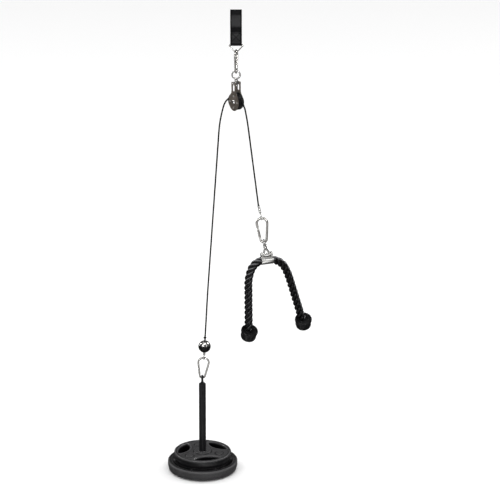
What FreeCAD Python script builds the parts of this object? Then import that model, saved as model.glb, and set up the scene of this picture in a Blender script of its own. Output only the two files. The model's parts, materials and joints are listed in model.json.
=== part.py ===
import FreeCAD, Part
import math
import os

Vector = FreeCAD.Vector
Rotation = FreeCAD.Rotation
Placement = FreeCAD.Placement

# A cable pull-down set. It hangs along -Z from a bar that lies on the X axis, and the
# origin is the bar's centre in the middle of the strap. The viewer stands at -Y.

X_AXIS = Vector(1, 0, 0)
Y_AXIS = Vector(0, 1, 0)
Z_AXIS = Vector(0, 0, 1)

# ---------------------------------------------------------------- driving dimensions (mm)
GAP = 0.05                # running clearance between pieces that turn on each other
HANG_GAP = 0.1            # gap left between two links that hang in each other
LEAN_GAP = 0.3            # the same where the two links lean different ways
CABLE_GAP = 0.15          # space between one length of cable and the next
KNEE_DROP = 1.0           # bend of a strand eye below its ferrule's mouth
LOOSE_GAP = 0.4           # free space round a part that only has to pass

# strap
BAR_LOOP_RADIUS = 14.1
STRAP_WIDTH = 48.0
STRAP_THICK = 2.5
STRAP_DROP = 133.5        # from the bar's centre to the ring's straight side
TAB_TOP = -76.0
TAB_LENGTH = 46.0
STITCH_WIDTH = 0.9
STITCH_HEIGHT = 0.5
STITCH_MARGIN = 5.0

# delta ring
RING_WIRE = 2.5
RING_HALF_BAR = 24.3
RING_CORNER = 3.7
RING_TIP = 7.6
RING_DROP = 165.3         # to the wire's centre at the ring's tip

# snap hooks: wire radius, bend radii of the wide and narrow ends, and their distance
SMALL_HOOK = {"wire": 4.0, "wide": 22.5, "narrow": 11.5, "reach": 62.0}
LARGE_HOOK = {"wire": 5.0, "wide": 22.0, "narrow": 13.0, "reach": 70.0}
NOSE_PART = 0.22          # part of the gate side that belongs to the fixed nose
TONGUE_HALF = 1.5
TONGUE_PART = 0.7         # widths as parts of the wire's radius
KNUCKLE_PART = 0.9
GATE_PIN_PART = 0.95
SPRING_CLEAR = 1.0
GATE_PIN = 1.5
GATE_SPRING_WIRE = 0.4
GATE_SPRING_RADIUS = 1.4
GATE_SPRING_TURNS = 6
TOP_HOOK_TURN = 12.0      # degrees that the top hook's plane is turned from edge-on

# swivel eye
EYE_WIRE = 3.25
EYE_BEND = 16.5
EYE_NECK_BEND = 3.6
EYE_NECK_DROP = 20.5      # from the eye's centre to the centre of the neck's bend
COLLAR_RADIUS = 6.5
COLLAR_CHAMFER = 1.0
SHANK_STUB = 1.0          # thread that shows below the nut
SHANK_RADIUS = 4.0
SWIVEL_NUT_ACROSS = 13.0
SWIVEL_NUT_HIGH = 6.5
SWIVEL_WASHER_RADIUS = 8.0
SWIVEL_WASHER_HIGH = 1.5

# block, measured from its axle
AXLE_DROP = 378.0
BLOCK_TURN = -45.0        # degrees that the wheel's plane is turned about Z
CHEEK_TOP = 84.6
CHEEK_BOTTOM = 39.0
CHEEK_NECK = 12.8         # half widths
CHEEK_BELLY = 28.5
CHEEK_FLARE = 46.0
CHEEK_CORNER = 2.5
CHEEK_THICK = 2.5
CHEEK_INNER = 12.5        # from the middle plane to the inner face
SLOT_TOP = 73.1
SLOT_LENGTH = 27.0
SLOT_HALF = 5.0
HOLE_RADIUS = 2.4
HOLE_SIDE = 20.5
HOLE_RISE = 25.0
CROSSHEAD_TOP = 83.5
CROSSHEAD_HIGH = 10.0
CROSSHEAD_HALF = 9.0
TENON_RADIUS = 3.9
TENON_PROUD = 0.6
AXLE_STUB = 1.5           # thread that shows beyond the nut
AXLE_RADIUS = 5.0
AXLE_HEAD_RADIUS = 9.0
AXLE_HEAD_HIGH = 5.0
AXLE_NUT_ACROSS = 16.0
AXLE_NUT_HIGH = 8.0
SPACER_RADIUS = 7.0
BEARING_HALF = 4.0
BEARING_RADIUS = 13.0
BEARING_PITCH = 9.0
BEARING_LAND = 1.8        # the rings' lands stop this far from the pitch circle
BALL_RADIUS = 2.2
BALL_COUNT = 8
WHEEL_RADIUS = 36.0
WHEEL_HALF = 12.0
WHEEL_BORE_LIP = 11.5
GROOVE_MOUTH = 8.5
WEB_INNER = 17.0
WEB_OUTER = 26.0
WEB_DEPTH = 4.0
WEB_DRAFT = 1.0
WHEEL_CHAMFER = 1.0
WHEEL_FIT = 0.01          # the bearing's slight looseness before it is pressed home
GROOVE_SPARE = 0.6

# cable
CABLE_RADIUS = 3.0
CABLE_BEND = 30.0
WRAP_WEIGHT = 40.0        # degrees of contact on each side of the wheel's top
WRAP_HANDLE = 52.0
STRAND_RADIUS = 2.25      # bare wire in the eyes

# weight side, in the plane of the wheel
RUN_END_WEIGHT = (-188.8, -1465.0)
WEIGHT_BOW = ((-68.0, -396.0, 90.0), (-98.0, -490.0, 450.0), (-174.0, -1277.0, 3000.0))   # x, z, bend
WEIGHT_HOOK_TOP = (-197.3, -1576.0)
WEIGHT_HOOK_BOTTOM = (-148.0, 148.0)      # plan position
STOP_COLLAR_RADIUS = 6.5
COLLAR_CHAMFER = 1.0
SHANK_STUB = 1.0          # thread that shows below the nut
STOP_COLLAR_HIGH = 7.0
STOP_COLLAR_FOOT = 1.5
STOP_COLLAR_TAPER = 2.0
STOP_COLLAR_LIFT = 91.5   # heights above the weight hook's top wire
BALL_LIFT = 53.7
BALL_STOP_RADIUS = 26.5
BALL_FLAT = 23.5          # from the ball's centre down to its flat
BALL_CAP_FROM = 9.0       # the cap covers the ball above this height
BALL_CAP_THICK = 1.2
BALL_BORE_SPARE = 0.2
WEIGHT_FERRULE_LIFT = 15.0
WEIGHT_FERRULE_HIGH = 14.0
FERRULE_HALF = 5.6
FERRULE_EDGE = 1.2
FERRULE_SPREAD = 2.6      # the two strands' distance from the middle
WEIGHT_EYE_BEND = 8.0

# loading pin
PIN_EYE_WIRE = 4.5
PIN_EYE_BEND = 11.0
PIN_SHANK_RADIUS = 6.0
PIN_TUBE_TOP = -1700.0
PIN_TUBE_BOTTOM = -2089.1
PIN_TUBE_RADIUS = 15.0
PIN_TUBE_WALL = 2.0
PIN_CAP_HIGH = 7.0
PIN_CAP_DOME = ((1.0, 1.5), (0.93, 3.2), (0.75, 4.6), (0.5, 5.4))   # parts of the radius, heights
PIN_CAP_TOP = 5.6
PIN_BASE_RADIUS = 65.0
PIN_BASE_HIGH = 6.0
PIN_BASE_EDGE = 1.0
PIN_STUD_RADIUS = 12.9
PIN_STUD_HIGH = 40.0

# weight plates
UPPER_PLATE = {"radius": 123.0, "high": 40.0, "bottom": -2049.0, "grip_turn": 42.7}
LOWER_PLATE = {"radius": 150.0, "high": 40.0, "bottom": -2089.1, "grip_turn": 93.0}
PLATE_BORE = 18.0
BUSH_BORE = 15.75
PLATE_HUB_PART = 0.29     # radii of the raised hub and of the rim's lip, as parts of the plate's
PLATE_LIP_PART = 0.90
PLATE_DISH = 3.0
PLATE_RIM_SLOPE = 3.0
PLATE_FOOT_EDGE = 2.0
PLATE_TOP_EDGE = (2.0, 5.0)   # drop at the rim, and width
PLATE_BELLY_PART = 0.55   # height of the widest point, as part of the plate's
GRIP_CORNER = 5.0
GRIP_OUTER_PART = 0.86
GRIP_INNER_PART = 0.50
GRIP_HALF_ANGLE = 33.0
GRIP_COUNT = 3
FULL_TURN = 360.0

# handle side
RUN_END_HANDLE = (130.4, -801.0)
HANDLE_BOW = ((51.0, -395.0, 90.0), (67.5, -458.0, 500.0))
HANDLE_HOOK_TOP = Vector(105.0, -98.6, -857.0)
HANDLE_HOOK_LEAN = Vector(10.5, -5.4, -104.5)
HANDLE_FERRULE_HIGH = 32.0
HANDLE_EYE_BEND = 9.5
BOLT_CENTRE = Vector(127.0, -102.6, -1015.0)
ROPE_TURN = 20.0          # degrees that the rope's plane is turned about Z
BAIL_WIRE = 4.0
BAIL_EYE_BEND = 10.0
BAIL_STEM = 7.5
BAIL_FORK_DROP = 34.0
BAIL_LEG = 4.0
BAIL_FOOT = 13.0          # the legs' distance from the middle at the bolt
BAIL_FOOT_HALF = 4.0
BAIL_FOOT_RADIUS = 7.5
CROSS_BOLT_RADIUS = 4.0
SLEEVE_DROP = 26.0
SLEEVE_RADIUS = 17.5
SLEEVE_WALL = 1.3
SLEEVE_HALF = 26.5
LUG_THICK = 4.0
LUG_HALF = 10.0
LUG_REACH = 22.0          # from the middle to a lug's outer face
BOLT_HEAD_ACROSS = 13.0
BOLT_HEAD_HIGH = 4.5

# rope, in the bracket's own plane, from the bolt's centre: start, (corner x, z, bend)..., end
ROPE_RADIUS = 16.0
LEG_START = 22.0          # free length at the sleeve's mouth, which lets the leg swing
LEFT_LEG = ((-26.5, -26.0), (-62.0, -38.0, 58.0), (-81.5, -100.0, 150.0), (-80.0, -349.0))
RIGHT_LEG = ((26.5, -26.0), (70.0, -45.0, 78.0), (96.0, -100.0, 280.0), (165.0, -329.0))
STOP_RADIUS = 36.0
STOP_BAND_RADIUS = 33.0
STOP_HIGH = 50.0
STOP_BAND_HIGH = 37.0
STOP_STEP = 2.0
STOP_SHOULDER = ((0.0, 6.0), (2.0, 2.0), (6.0, 0.0))   # in from the rim, down from the top
STOP_TOE = ((0.62, 0.0), (0.86, 3.0), (0.97, 9.0), (1.0, 15.0))   # parts of the band, heights
STOP_DEPTH = 30.0         # length of rope inside the stop
STOP_LEFT_LEAN = Vector(0.0, 0.50, -1.0)
STOP_RIGHT_LEAN = Vector(0.18, 0.50, -1.0)


# ---------------------------------------------------------------- geometry helpers
def frame(origin, x_axis, z_axis):
    """Placement whose Z is z_axis and whose X is as near to x_axis as it can be."""
    y_axis = z_axis.cross(x_axis)
    return Placement(origin, Rotation(x_axis, y_axis, z_axis, "ZXY"))


def put(shape, placement):
    return shape.transformed(placement.toMatrix(), True)


def flat(x, z, y=0.0):
    """A point given in an XZ plane."""
    return Vector(x, y, z)


def hull_normals(circles, closed=True):
    """Angles of the outer tangents between neighbours of a counter-clockwise ring of circles."""
    angles = []
    count = len(circles) if closed else len(circles) - 1
    for index in range(count):
        x1, z1, r1 = circles[index]
        x2, z2, r2 = circles[(index + 1) % len(circles)]
        run = math.hypot(x2 - x1, z2 - z1)
        heading = math.atan2(z2 - z1, x2 - x1)
        angles.append(heading - math.pi / 2 + math.asin((r1 - r2) / run))
    return angles


def on_circle(circle, angle):
    x, z, radius = circle
    return flat(x + radius * math.cos(angle), z + radius * math.sin(angle))


def circle_arc(circle, start, end):
    while end <= start:
        end += 2 * math.pi
    middle = (start + end) / 2
    return Part.Arc(on_circle(circle, start), on_circle(circle, middle), on_circle(circle, end)).toShape()


def hull_wire(circles):
    """Closed wire drawn tight round a counter-clockwise ring of circles."""
    angles = hull_normals(circles)
    edges = []
    for index, circle in enumerate(circles):
        following = circles[(index + 1) % len(circles)]
        edges.append(circle_arc(circle, angles[index - 1], angles[index]))
        edges.append(Part.makeLine(on_circle(circle, angles[index]), on_circle(following, angles[index])))
    return Part.Wire(edges)


def slab(wire, low, high):
    """Solid with the outline wire, standing in an XZ plane, from y = low to y = high."""
    face = Part.Face(wire)
    face.translate(Vector(0, low, 0))
    return face.extrude(Vector(0, high - low, 0))


def sweep(wire, radius):
    """Round wire bent along a path."""
    first = wire.OrderedEdges[0]
    start = first.valueAt(first.FirstParameter)
    heading = first.tangentAt(first.FirstParameter)
    if first.Orientation == "Reversed":
        start = first.valueAt(first.LastParameter)
        heading = first.tangentAt(first.LastParameter).multiply(-1)
    profile = Part.Wire([Part.Circle(start, heading, radius).toShape()])
    return wire.makePipeShell([profile], True, True)


def rounded_path(start, corners, end):
    """Line through corners given as (x, z, bend), each turned with an arc of that radius."""
    edges = []
    here = start
    for index, (x, z, bend) in enumerate(corners):
        corner = flat(x, z)
        following = flat(*corners[index + 1][:2]) if index + 1 < len(corners) else end
        back = (here - corner).normalize()
        ahead = (following - corner).normalize()
        half = back.getAngle(ahead) / 2
        reach = bend / math.tan(half)
        to_middle = (back + ahead).normalize() * (bend / math.sin(half) - bend)
        edges.append(Part.makeLine(here, corner + back * reach))
        edges.append(Part.Arc(corner + back * reach, corner + to_middle, corner + ahead * reach).toShape())
        here = corner + ahead * reach
    edges.append(Part.makeLine(here, end))
    return Part.Wire(edges)


def trimmed(wire, skip):
    """Wire without its first stretch, whose length is skip."""
    edges = list(wire.Edges)
    while edges[0].Length < skip:
        skip -= edges.pop(0).Length
    first = edges[0]
    edges[0] = first.Curve.toShape(first.getParameterByLength(skip), first.LastParameter)
    return Part.Wire(edges)


def rod(start, end, radius):
    return Part.makeCylinder(radius, (end - start).Length, start, end - start)


def tube(start, end, outer, inner):
    return rod(start, end, outer).cut(rod(start, end, inner))


def hexagon(start, axis, across, high):
    corner = across / math.sqrt(3)
    face = Part.Face(Part.makePolygon([
        flat(corner * math.cos(math.radians(60 * step)), corner * math.sin(math.radians(60 * step)))
        for step in range(7)]))
    prism = face.extrude(Vector(0, high, 0))
    return put(prism, Placement(start, Rotation(Y_AXIS, axis)))


def turned(points, axis_start, axis):
    """Solid of revolution; points are (distance from the axis, height along it)."""
    wire = Part.makePolygon([flat(r, h) for r, h in points + points[:1]])
    solid = Part.Face(wire).revolve(Vector(0, 0, 0), Z_AXIS, FULL_TURN)
    return put(solid, Placement(axis_start, Rotation(Z_AXIS, axis)))


def fused(first, *others):
    return first.multiFuse(list(others)).removeSplitter()


# ---------------------------------------------------------------- placements
CABLE_HEADING = Vector(math.cos(math.radians(BLOCK_TURN)), math.sin(math.radians(BLOCK_TURN)), 0)
ROPE_HEADING = Vector(math.cos(math.radians(ROPE_TURN)), math.sin(math.radians(ROPE_TURN)), 0)


def in_wheel_plane(along, z):
    point = CABLE_HEADING * along
    return Vector(point.x, point.y, z)


def hook_length(hook):
    return hook["wide"] + hook["reach"] + hook["narrow"]


def hung_frame(top, lean, side):
    """Frame of a hanging link: origin at the top wire's centre, -Z along its lean."""
    return frame(top, side, lean * -1)


BLOCK_FRAME = frame(Vector(0, 0, -AXLE_DROP), CABLE_HEADING, Z_AXIS)
AXLE_AXIS = Z_AXIS.cross(CABLE_HEADING)

TOP_HOOK_Z = -RING_DROP + RING_WIRE + SMALL_HOOK["wire"] + HANG_GAP
TOP_HOOK_SIDE = Vector(math.sin(math.radians(TOP_HOOK_TURN)), math.cos(math.radians(TOP_HOOK_TURN)), 0)
TOP_HOOK_FRAME = frame(Vector(0, 0, TOP_HOOK_Z), TOP_HOOK_SIDE, Z_AXIS)
EYE_TOP_Z = TOP_HOOK_Z - hook_length(SMALL_HOOK) + SMALL_HOOK["wire"] + EYE_WIRE + HANG_GAP
EYE_Z = EYE_TOP_Z - EYE_BEND
CROSSHEAD_TOP_Z = CROSSHEAD_TOP - AXLE_DROP
CROSSHEAD_BOTTOM_Z = CROSSHEAD_TOP_Z - CROSSHEAD_HIGH

WEIGHT_TOP = in_wheel_plane(*WEIGHT_HOOK_TOP)
WEIGHT_RUN_END = in_wheel_plane(*RUN_END_WEIGHT)
WEIGHT_FRAME = hung_frame(WEIGHT_TOP, WEIGHT_TOP - WEIGHT_RUN_END, X_AXIS)
WEIGHT_DROP = Vector(WEIGHT_HOOK_BOTTOM[0] - WEIGHT_TOP.x, WEIGHT_HOOK_BOTTOM[1] - WEIGHT_TOP.y, 0)
WEIGHT_LEAN = WEIGHT_DROP - Z_AXIS * math.sqrt(hook_length(SMALL_HOOK) ** 2 - WEIGHT_DROP.Length ** 2)
WEIGHT_HOOK_FRAME = hung_frame(WEIGHT_TOP, WEIGHT_LEAN, X_AXIS)
PIN_EYE_RISE = SMALL_HOOK["wire"] + PIN_EYE_WIRE + LEAN_GAP
PIN_EYE_TOP = WEIGHT_HOOK_FRAME.multVec(Vector(0, 0, PIN_EYE_RISE - hook_length(SMALL_HOOK)))
PIN_FOOT = Vector(PIN_EYE_TOP.x, PIN_EYE_TOP.y, 0)

HANDLE_RUN_END = in_wheel_plane(*RUN_END_HANDLE)
HANDLE_FRAME = hung_frame(HANDLE_HOOK_TOP, HANDLE_HOOK_TOP - HANDLE_RUN_END, X_AXIS)
HANDLE_HOOK_FRAME = hung_frame(HANDLE_HOOK_TOP, HANDLE_HOOK_LEAN, X_AXIS)
BAIL_RISE = LARGE_HOOK["wire"] + BAIL_WIRE + LEAN_GAP
BAIL_TOP = HANDLE_HOOK_FRAME.multVec(Vector(0, 0, BAIL_RISE - hook_length(LARGE_HOOK)))
BAIL_FRAME = hung_frame(BAIL_TOP, BOLT_CENTRE - BAIL_TOP, X_AXIS)
BRACKET_FRAME = frame(BOLT_CENTRE, ROPE_HEADING, Z_AXIS)


def ring_edge(angle):
    """Point of the plate's unit circle at an angle in plan."""
    return Vector(math.cos(math.radians(angle)), math.sin(math.radians(angle)), 0)


# ---------------------------------------------------------------- strap and ring
def strap_section(grow):
    """Outline of the loop round the bar and the ring, in an XZ plane, grown by a thickness."""
    bar = (0.0, 0.0, BAR_LOOP_RADIUS + grow)
    fold = (0.0, -STRAP_DROP, RING_WIRE + HANG_GAP + grow)
    return hull_wire([bar, fold])


def strap_webbing():
    band = slab(strap_section(STRAP_THICK), -STRAP_WIDTH / 2, STRAP_WIDTH / 2)
    hollow = slab(strap_section(0.0), -STRAP_WIDTH, STRAP_WIDTH)
    return put(band.cut(hollow), Placement(Vector(0, 0, 0), Rotation(Z_AXIS, 90)))


def tab_frame():
    """Frame on the strap's front face: X across the strap, -Y outwards, Z up the ply."""
    top_radius = BAR_LOOP_RADIUS + STRAP_THICK
    fold_radius = RING_WIRE + HANG_GAP + STRAP_THICK
    slope = math.asin((top_radius - fold_radius) / STRAP_DROP)
    on_face = -top_radius / math.cos(slope) - TAB_TOP * math.tan(slope)
    return frame(Vector(0, on_face, TAB_TOP), X_AXIS, Vector(0, -math.sin(slope), math.cos(slope)))


def strap_tab():
    half = STRAP_WIDTH / 2
    tab = Part.makeBox(STRAP_WIDTH, STRAP_THICK, TAB_LENGTH, Vector(-half, -STRAP_THICK, -TAB_LENGTH))
    return put(tab, tab_frame())


def strap_stitching():
    half = STRAP_WIDTH / 2 - STITCH_MARGIN
    top = -STITCH_MARGIN
    bottom = STITCH_MARGIN - TAB_LENGTH
    corners = [flat(-half, top), flat(half, top), flat(half, bottom), flat(-half, bottom)]
    sides = [(0, 1), (1, 2), (2, 3), (3, 0), (0, 2), (1, 3)]
    threads = []
    for first, second in sides:
        run = corners[second] - corners[first]
        thread = Part.makeBox(run.Length + STITCH_WIDTH, STITCH_HEIGHT, STITCH_WIDTH,
                              Vector(-STITCH_WIDTH / 2, -STITCH_HEIGHT, -STITCH_WIDTH / 2))
        turn = Rotation(run, Y_AXIS, run.cross(Y_AXIS), "XYZ")
        threads.append(put(thread, Placement(corners[first], turn)))
    face = tab_frame().multiply(Placement(Vector(0, -STRAP_THICK, 0), Rotation()))
    return put(fused(*threads), face)


def delta_ring():
    corner_z = -STRAP_DROP - RING_CORNER
    circles = [
        (RING_HALF_BAR, corner_z, RING_CORNER),
        (-RING_HALF_BAR, corner_z, RING_CORNER),
        (0.0, -RING_DROP + RING_TIP, RING_TIP),
    ]
    return sweep(hull_wire(circles), RING_WIRE)


# ---------------------------------------------------------------- snap hooks
def hook_side(hook):
    """Ends of the hook's straight gate side, from the narrow end up, and its direction."""
    wide, narrow, reach = hook["wide"], hook["narrow"], hook["reach"]
    tilt = math.asin((wide - narrow) / reach)
    outward = flat(-math.cos(tilt), -math.sin(tilt))
    low = flat(0, -wide - reach) + outward * narrow
    high = flat(0, -wide) + outward * wide
    along = high - low
    along.normalize()
    return low, high, along


def hook_marks(hook):
    """Pivot, nose and gate-side direction of a hook."""
    low, high, along = hook_side(hook)
    pivot = low + along * (hook["wire"] + LOOSE_GAP)
    nose = high + (low - high) * NOSE_PART
    return pivot, nose, along


def hook_bar(along, start, end, half_width, half_thick):
    """Flat tongue in the hook's plane that runs from start to end."""
    run = (end - start).Length
    box = Part.makeBox(2 * half_width, 2 * half_thick, run, Vector(-half_width, -half_thick, 0))
    return put(box, frame(start, Y_AXIS.cross(along), along))


def hook_body(hook):
    wire = hook["wire"]
    low, high, along = hook_side(hook)
    pivot, nose, _ = hook_marks(hook)
    wide = (0.0, -hook["wide"], hook["wide"])
    narrow = (0.0, -hook["wide"] - hook["reach"], hook["narrow"])
    right, left = hull_normals([narrow, wide])
    path = Part.Wire([
        circle_arc(narrow, left, right),
        Part.makeLine(on_circle(narrow, right), on_circle(wide, right)),
        circle_arc(wide, right, left),
        Part.makeLine(high, nose),
    ])
    half = Y_AXIS * TONGUE_HALF
    overlap = along * LOOSE_GAP
    knuckle = rod(pivot - half, pivot + half, wire * KNUCKLE_PART)
    root = hook_bar(along, low - overlap, pivot, wire * TONGUE_PART, TONGUE_HALF)
    tongue = hook_bar(along, nose - along * wire, nose + overlap, wire * TONGUE_PART, TONGUE_HALF)
    body = fused(sweep(path, wire), knuckle, root, tongue)
    return body.cut(rod(pivot - Y_AXIS * wire, pivot + Y_AXIS * wire, GATE_PIN))


def hook_gate(hook):
    wire = hook["wire"]
    pivot, nose, along = hook_marks(hook)
    top = nose - along * LOOSE_GAP
    gate = fused(rod(pivot, top, wire), Part.makeSphere(wire, pivot))
    slot = TONGUE_HALF + HANG_GAP
    fork = hook_bar(along, pivot - along * 2 * wire, pivot + along * (wire + LOOSE_GAP), 2 * wire, slot)
    notch = hook_bar(along, top - along * (wire + LOOSE_GAP), top + along, 2 * wire, slot)
    bore = rod(pivot, pivot + along * spring_span(hook), GATE_SPRING_RADIUS + GATE_SPRING_WIRE + GAP)
    hole = rod(pivot - Y_AXIS * 2 * wire, pivot + Y_AXIS * 2 * wire, GATE_PIN + GAP)
    return gate.cut(fork).cut(notch).cut(bore).cut(hole)


def spring_span(hook):
    pivot, nose, _ = hook_marks(hook)
    return (nose - pivot).Length / 2


def hook_pin(hook):
    pivot, _, _ = hook_marks(hook)
    half = hook["wire"] * GATE_PIN_PART
    return rod(pivot - Y_AXIS * half, pivot + Y_AXIS * half, GATE_PIN)


def hook_spring(hook):
    pivot, _, along = hook_marks(hook)
    start = hook["wire"] + SPRING_CLEAR
    height = spring_span(hook) - start - SPRING_CLEAR
    helix = Part.makeHelix(height / GATE_SPRING_TURNS, height, GATE_SPRING_RADIUS)
    profile = Part.Wire([Part.Circle(Vector(GATE_SPRING_RADIUS, 0, 0), Y_AXIS, GATE_SPRING_WIRE).toShape()])
    spring = Part.Wire(helix).makePipeShell([profile], True, True)
    return put(spring, frame(pivot + along * start, Y_AXIS.cross(along), along))


def hook_parts(name, hook, placement):
    return {
        name: put(hook_body(hook), placement),
        name + "_gate": put(hook_gate(hook), placement),
        name + "_pin": put(hook_pin(hook), placement),
        name + "_spring": put(hook_spring(hook), placement),
    }


# ---------------------------------------------------------------- swivel eye
def swivel_eye():
    loop = hull_wire([(0.0, EYE_Z, EYE_BEND), (0.0, EYE_Z - EYE_NECK_DROP, EYE_NECK_BEND)])
    collar_top = EYE_Z - EYE_NECK_DROP
    collar_bottom = CROSSHEAD_TOP_Z + 2 * HANG_GAP
    collar = rod(flat(0, collar_top), flat(0, collar_bottom), COLLAR_RADIUS)
    rims = [edge for edge in collar.Edges if edge.Curve.TypeId == "Part::GeomCircle"]
    collar = collar.makeChamfer(COLLAR_CHAMFER, rims)
    shank_end = nut_bottom() - SHANK_STUB
    return fused(sweep(loop, EYE_WIRE), collar, rod(flat(0, collar_top), flat(0, shank_end), SHANK_RADIUS))


def nut_bottom():
    return CROSSHEAD_BOTTOM_Z - GAP - SWIVEL_WASHER_HIGH - SWIVEL_NUT_HIGH


def swivel_washer():
    top = CROSSHEAD_BOTTOM_Z - GAP
    return tube(flat(0, top - SWIVEL_WASHER_HIGH), flat(0, top), SWIVEL_WASHER_RADIUS, SHANK_RADIUS + GAP)


def swivel_nut():
    start = flat(0, nut_bottom())
    nut = hexagon(start, Z_AXIS, SWIVEL_NUT_ACROSS, SWIVEL_NUT_HIGH)
    return nut.cut(rod(start, start + Z_AXIS * SWIVEL_NUT_HIGH, SHANK_RADIUS))


# ---------------------------------------------------------------- pulley block, in its own frame
def cheek_outline():
    top = CHEEK_TOP
    corner = CHEEK_CORNER
    belly = Part.ArcOfEllipse(Part.Ellipse(flat(0, -CHEEK_BOTTOM), flat(CHEEK_BELLY, 0), Vector(0, 0, 0)),
                              -math.pi / 2, math.pi / 2)
    edges = [belly.toShape()]
    for side in (1, -1):
        neck = side * CHEEK_NECK
        flare = Part.BezierCurve()
        flare.setPoles([flat(side * CHEEK_BELLY, 0), flat(side * CHEEK_BELLY, CHEEK_FLARE * 0.6),
                        flat(neck, CHEEK_FLARE * 0.65), flat(neck, CHEEK_FLARE)])
        edges.append(flare.toShape())
        edges.append(Part.makeLine(flat(neck, CHEEK_FLARE), flat(neck, top - corner)))
        bend = corner * (1 - math.sqrt(0.5))
        edges.append(Part.Arc(flat(neck, top - corner), flat(neck - side * bend, top - bend),
                              flat(neck - side * corner, top)).toShape())
    edges.append(Part.makeLine(flat(CHEEK_NECK - corner, top), flat(corner - CHEEK_NECK, top)))
    return Part.Wire(Part.__sortEdges__(edges))


def cheek(side):
    """Side plate with its sling slot, four lightening holes, axle hole and tenon hole."""
    low = CHEEK_INNER if side > 0 else -CHEEK_INNER - CHEEK_THICK
    plate = slab(cheek_outline(), low, low + CHEEK_THICK)
    ends = [(0.0, SLOT_TOP - SLOT_HALF, SLOT_HALF), (0.0, SLOT_TOP - SLOT_LENGTH + SLOT_HALF, SLOT_HALF)]
    plate = plate.cut(slab(hull_wire(ends), low - 1, low + CHEEK_THICK + 1))
    holes = [(0, 0, AXLE_RADIUS + GAP), (0, CROSSHEAD_TOP - CROSSHEAD_HIGH / 2, TENON_RADIUS + GAP)]
    holes += [(HOLE_SIDE, 0, HOLE_RADIUS), (-HOLE_SIDE, 0, HOLE_RADIUS)]
    holes += [(0, HOLE_RISE, HOLE_RADIUS), (0, -HOLE_RISE, HOLE_RADIUS)]
    for x, z, radius in holes:
        plate = plate.cut(rod(flat(x, z, low - 1), flat(x, z, low + CHEEK_THICK + 1), radius))
    return put(plate, BLOCK_FRAME)


def crosshead():
    middle = CROSSHEAD_TOP - CROSSHEAD_HIGH / 2
    body = Part.makeBox(2 * CROSSHEAD_HALF, 2 * CHEEK_INNER, CROSSHEAD_HIGH,
                        Vector(-CROSSHEAD_HALF, -CHEEK_INNER, CROSSHEAD_TOP - CROSSHEAD_HIGH))
    reach = CHEEK_INNER + CHEEK_THICK + TENON_PROUD
    tenons = rod(flat(0, middle, -reach), flat(0, middle, reach), TENON_RADIUS)
    bore = rod(flat(0, CROSSHEAD_TOP - 2 * CROSSHEAD_HIGH), flat(0, CROSSHEAD_TOP + 1), SHANK_RADIUS + GAP)
    return put(fused(body, tenons).cut(bore), BLOCK_FRAME)


def axle_bolt():
    face = CHEEK_INNER + CHEEK_THICK
    end = face + AXLE_NUT_HIGH + AXLE_STUB
    dome_radius = (AXLE_HEAD_RADIUS ** 2 + AXLE_HEAD_HIGH ** 2) / (2 * AXLE_HEAD_HIGH)
    dome = Part.makeSphere(dome_radius, flat(0, 0, dome_radius - face - AXLE_HEAD_HIGH))
    head = dome.common(rod(flat(0, 0, -face - AXLE_HEAD_HIGH), flat(0, 0, -face), AXLE_HEAD_RADIUS))
    return put(fused(head, rod(flat(0, 0, -face), flat(0, 0, end), AXLE_RADIUS)), BLOCK_FRAME)


def axle_nut():
    start = flat(0, 0, CHEEK_INNER + CHEEK_THICK)
    nut = hexagon(start, Y_AXIS, AXLE_NUT_ACROSS, AXLE_NUT_HIGH)
    return put(nut.cut(rod(start, start + Y_AXIS * AXLE_NUT_HIGH, AXLE_RADIUS)), BLOCK_FRAME)


def axle_spacers():
    inner = AXLE_RADIUS + GAP
    rear = tube(flat(0, 0, BEARING_HALF), flat(0, 0, CHEEK_INNER), SPACER_RADIUS, inner)
    front = tube(flat(0, 0, -CHEEK_INNER), flat(0, 0, -BEARING_HALF), SPACER_RADIUS, inner)
    return put(Part.makeCompound([rear, front]), BLOCK_FRAME)


def bearing_ring(inner, outer):
    ring = tube(flat(0, 0, -BEARING_HALF), flat(0, 0, BEARING_HALF), outer, inner)
    race = Part.makeTorus(BEARING_PITCH, BALL_RADIUS + GAP, Vector(0, 0, 0), Y_AXIS)
    return put(ring.cut(race), BLOCK_FRAME)


def bearing_balls():
    balls = []
    for index in range(BALL_COUNT):
        angle = 2 * math.pi * index / BALL_COUNT
        centre = flat(BEARING_PITCH * math.cos(angle), BEARING_PITCH * math.sin(angle))
        balls.append(Part.makeSphere(BALL_RADIUS, centre))
    return put(Part.makeCompound(balls), BLOCK_FRAME)


def pulley_wheel():
    """Grooved wheel with a stepped bore for its bearing and a shallow recess in each side."""
    half = WHEEL_HALF
    bore = BEARING_RADIUS + WHEEL_FIT
    web = half - WEB_DEPTH
    rim = WHEEL_RADIUS
    bevel = WHEEL_CHAMFER
    floor = CABLE_RADIUS + GROOVE_SPARE
    outline = [
        (WHEEL_BORE_LIP, -half), (WEB_INNER, -half), (WEB_INNER + WEB_DRAFT, -web), (WEB_OUTER, -web),
        (WEB_OUTER + WEB_DRAFT, -half), (rim - bevel, -half), (rim, bevel - half), (rim, -GROOVE_MOUTH),
        (CABLE_BEND, -floor), (CABLE_BEND, floor),
        (rim, GROOVE_MOUTH), (rim, half - bevel), (rim - bevel, half), (WEB_OUTER + WEB_DRAFT, half),
        (WEB_OUTER, web), (WEB_INNER + WEB_DRAFT, web), (WEB_INNER, half), (bore, half),
        (bore, -BEARING_HALF), (WHEEL_BORE_LIP, -BEARING_HALF),
    ]
    wheel = turned(outline, Vector(0, 0, 0), Y_AXIS)
    groove = Part.makeTorus(CABLE_BEND, CABLE_RADIUS + HANG_GAP, Vector(0, 0, 0), Y_AXIS)
    return put(wheel.cut(groove), BLOCK_FRAME)


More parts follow.
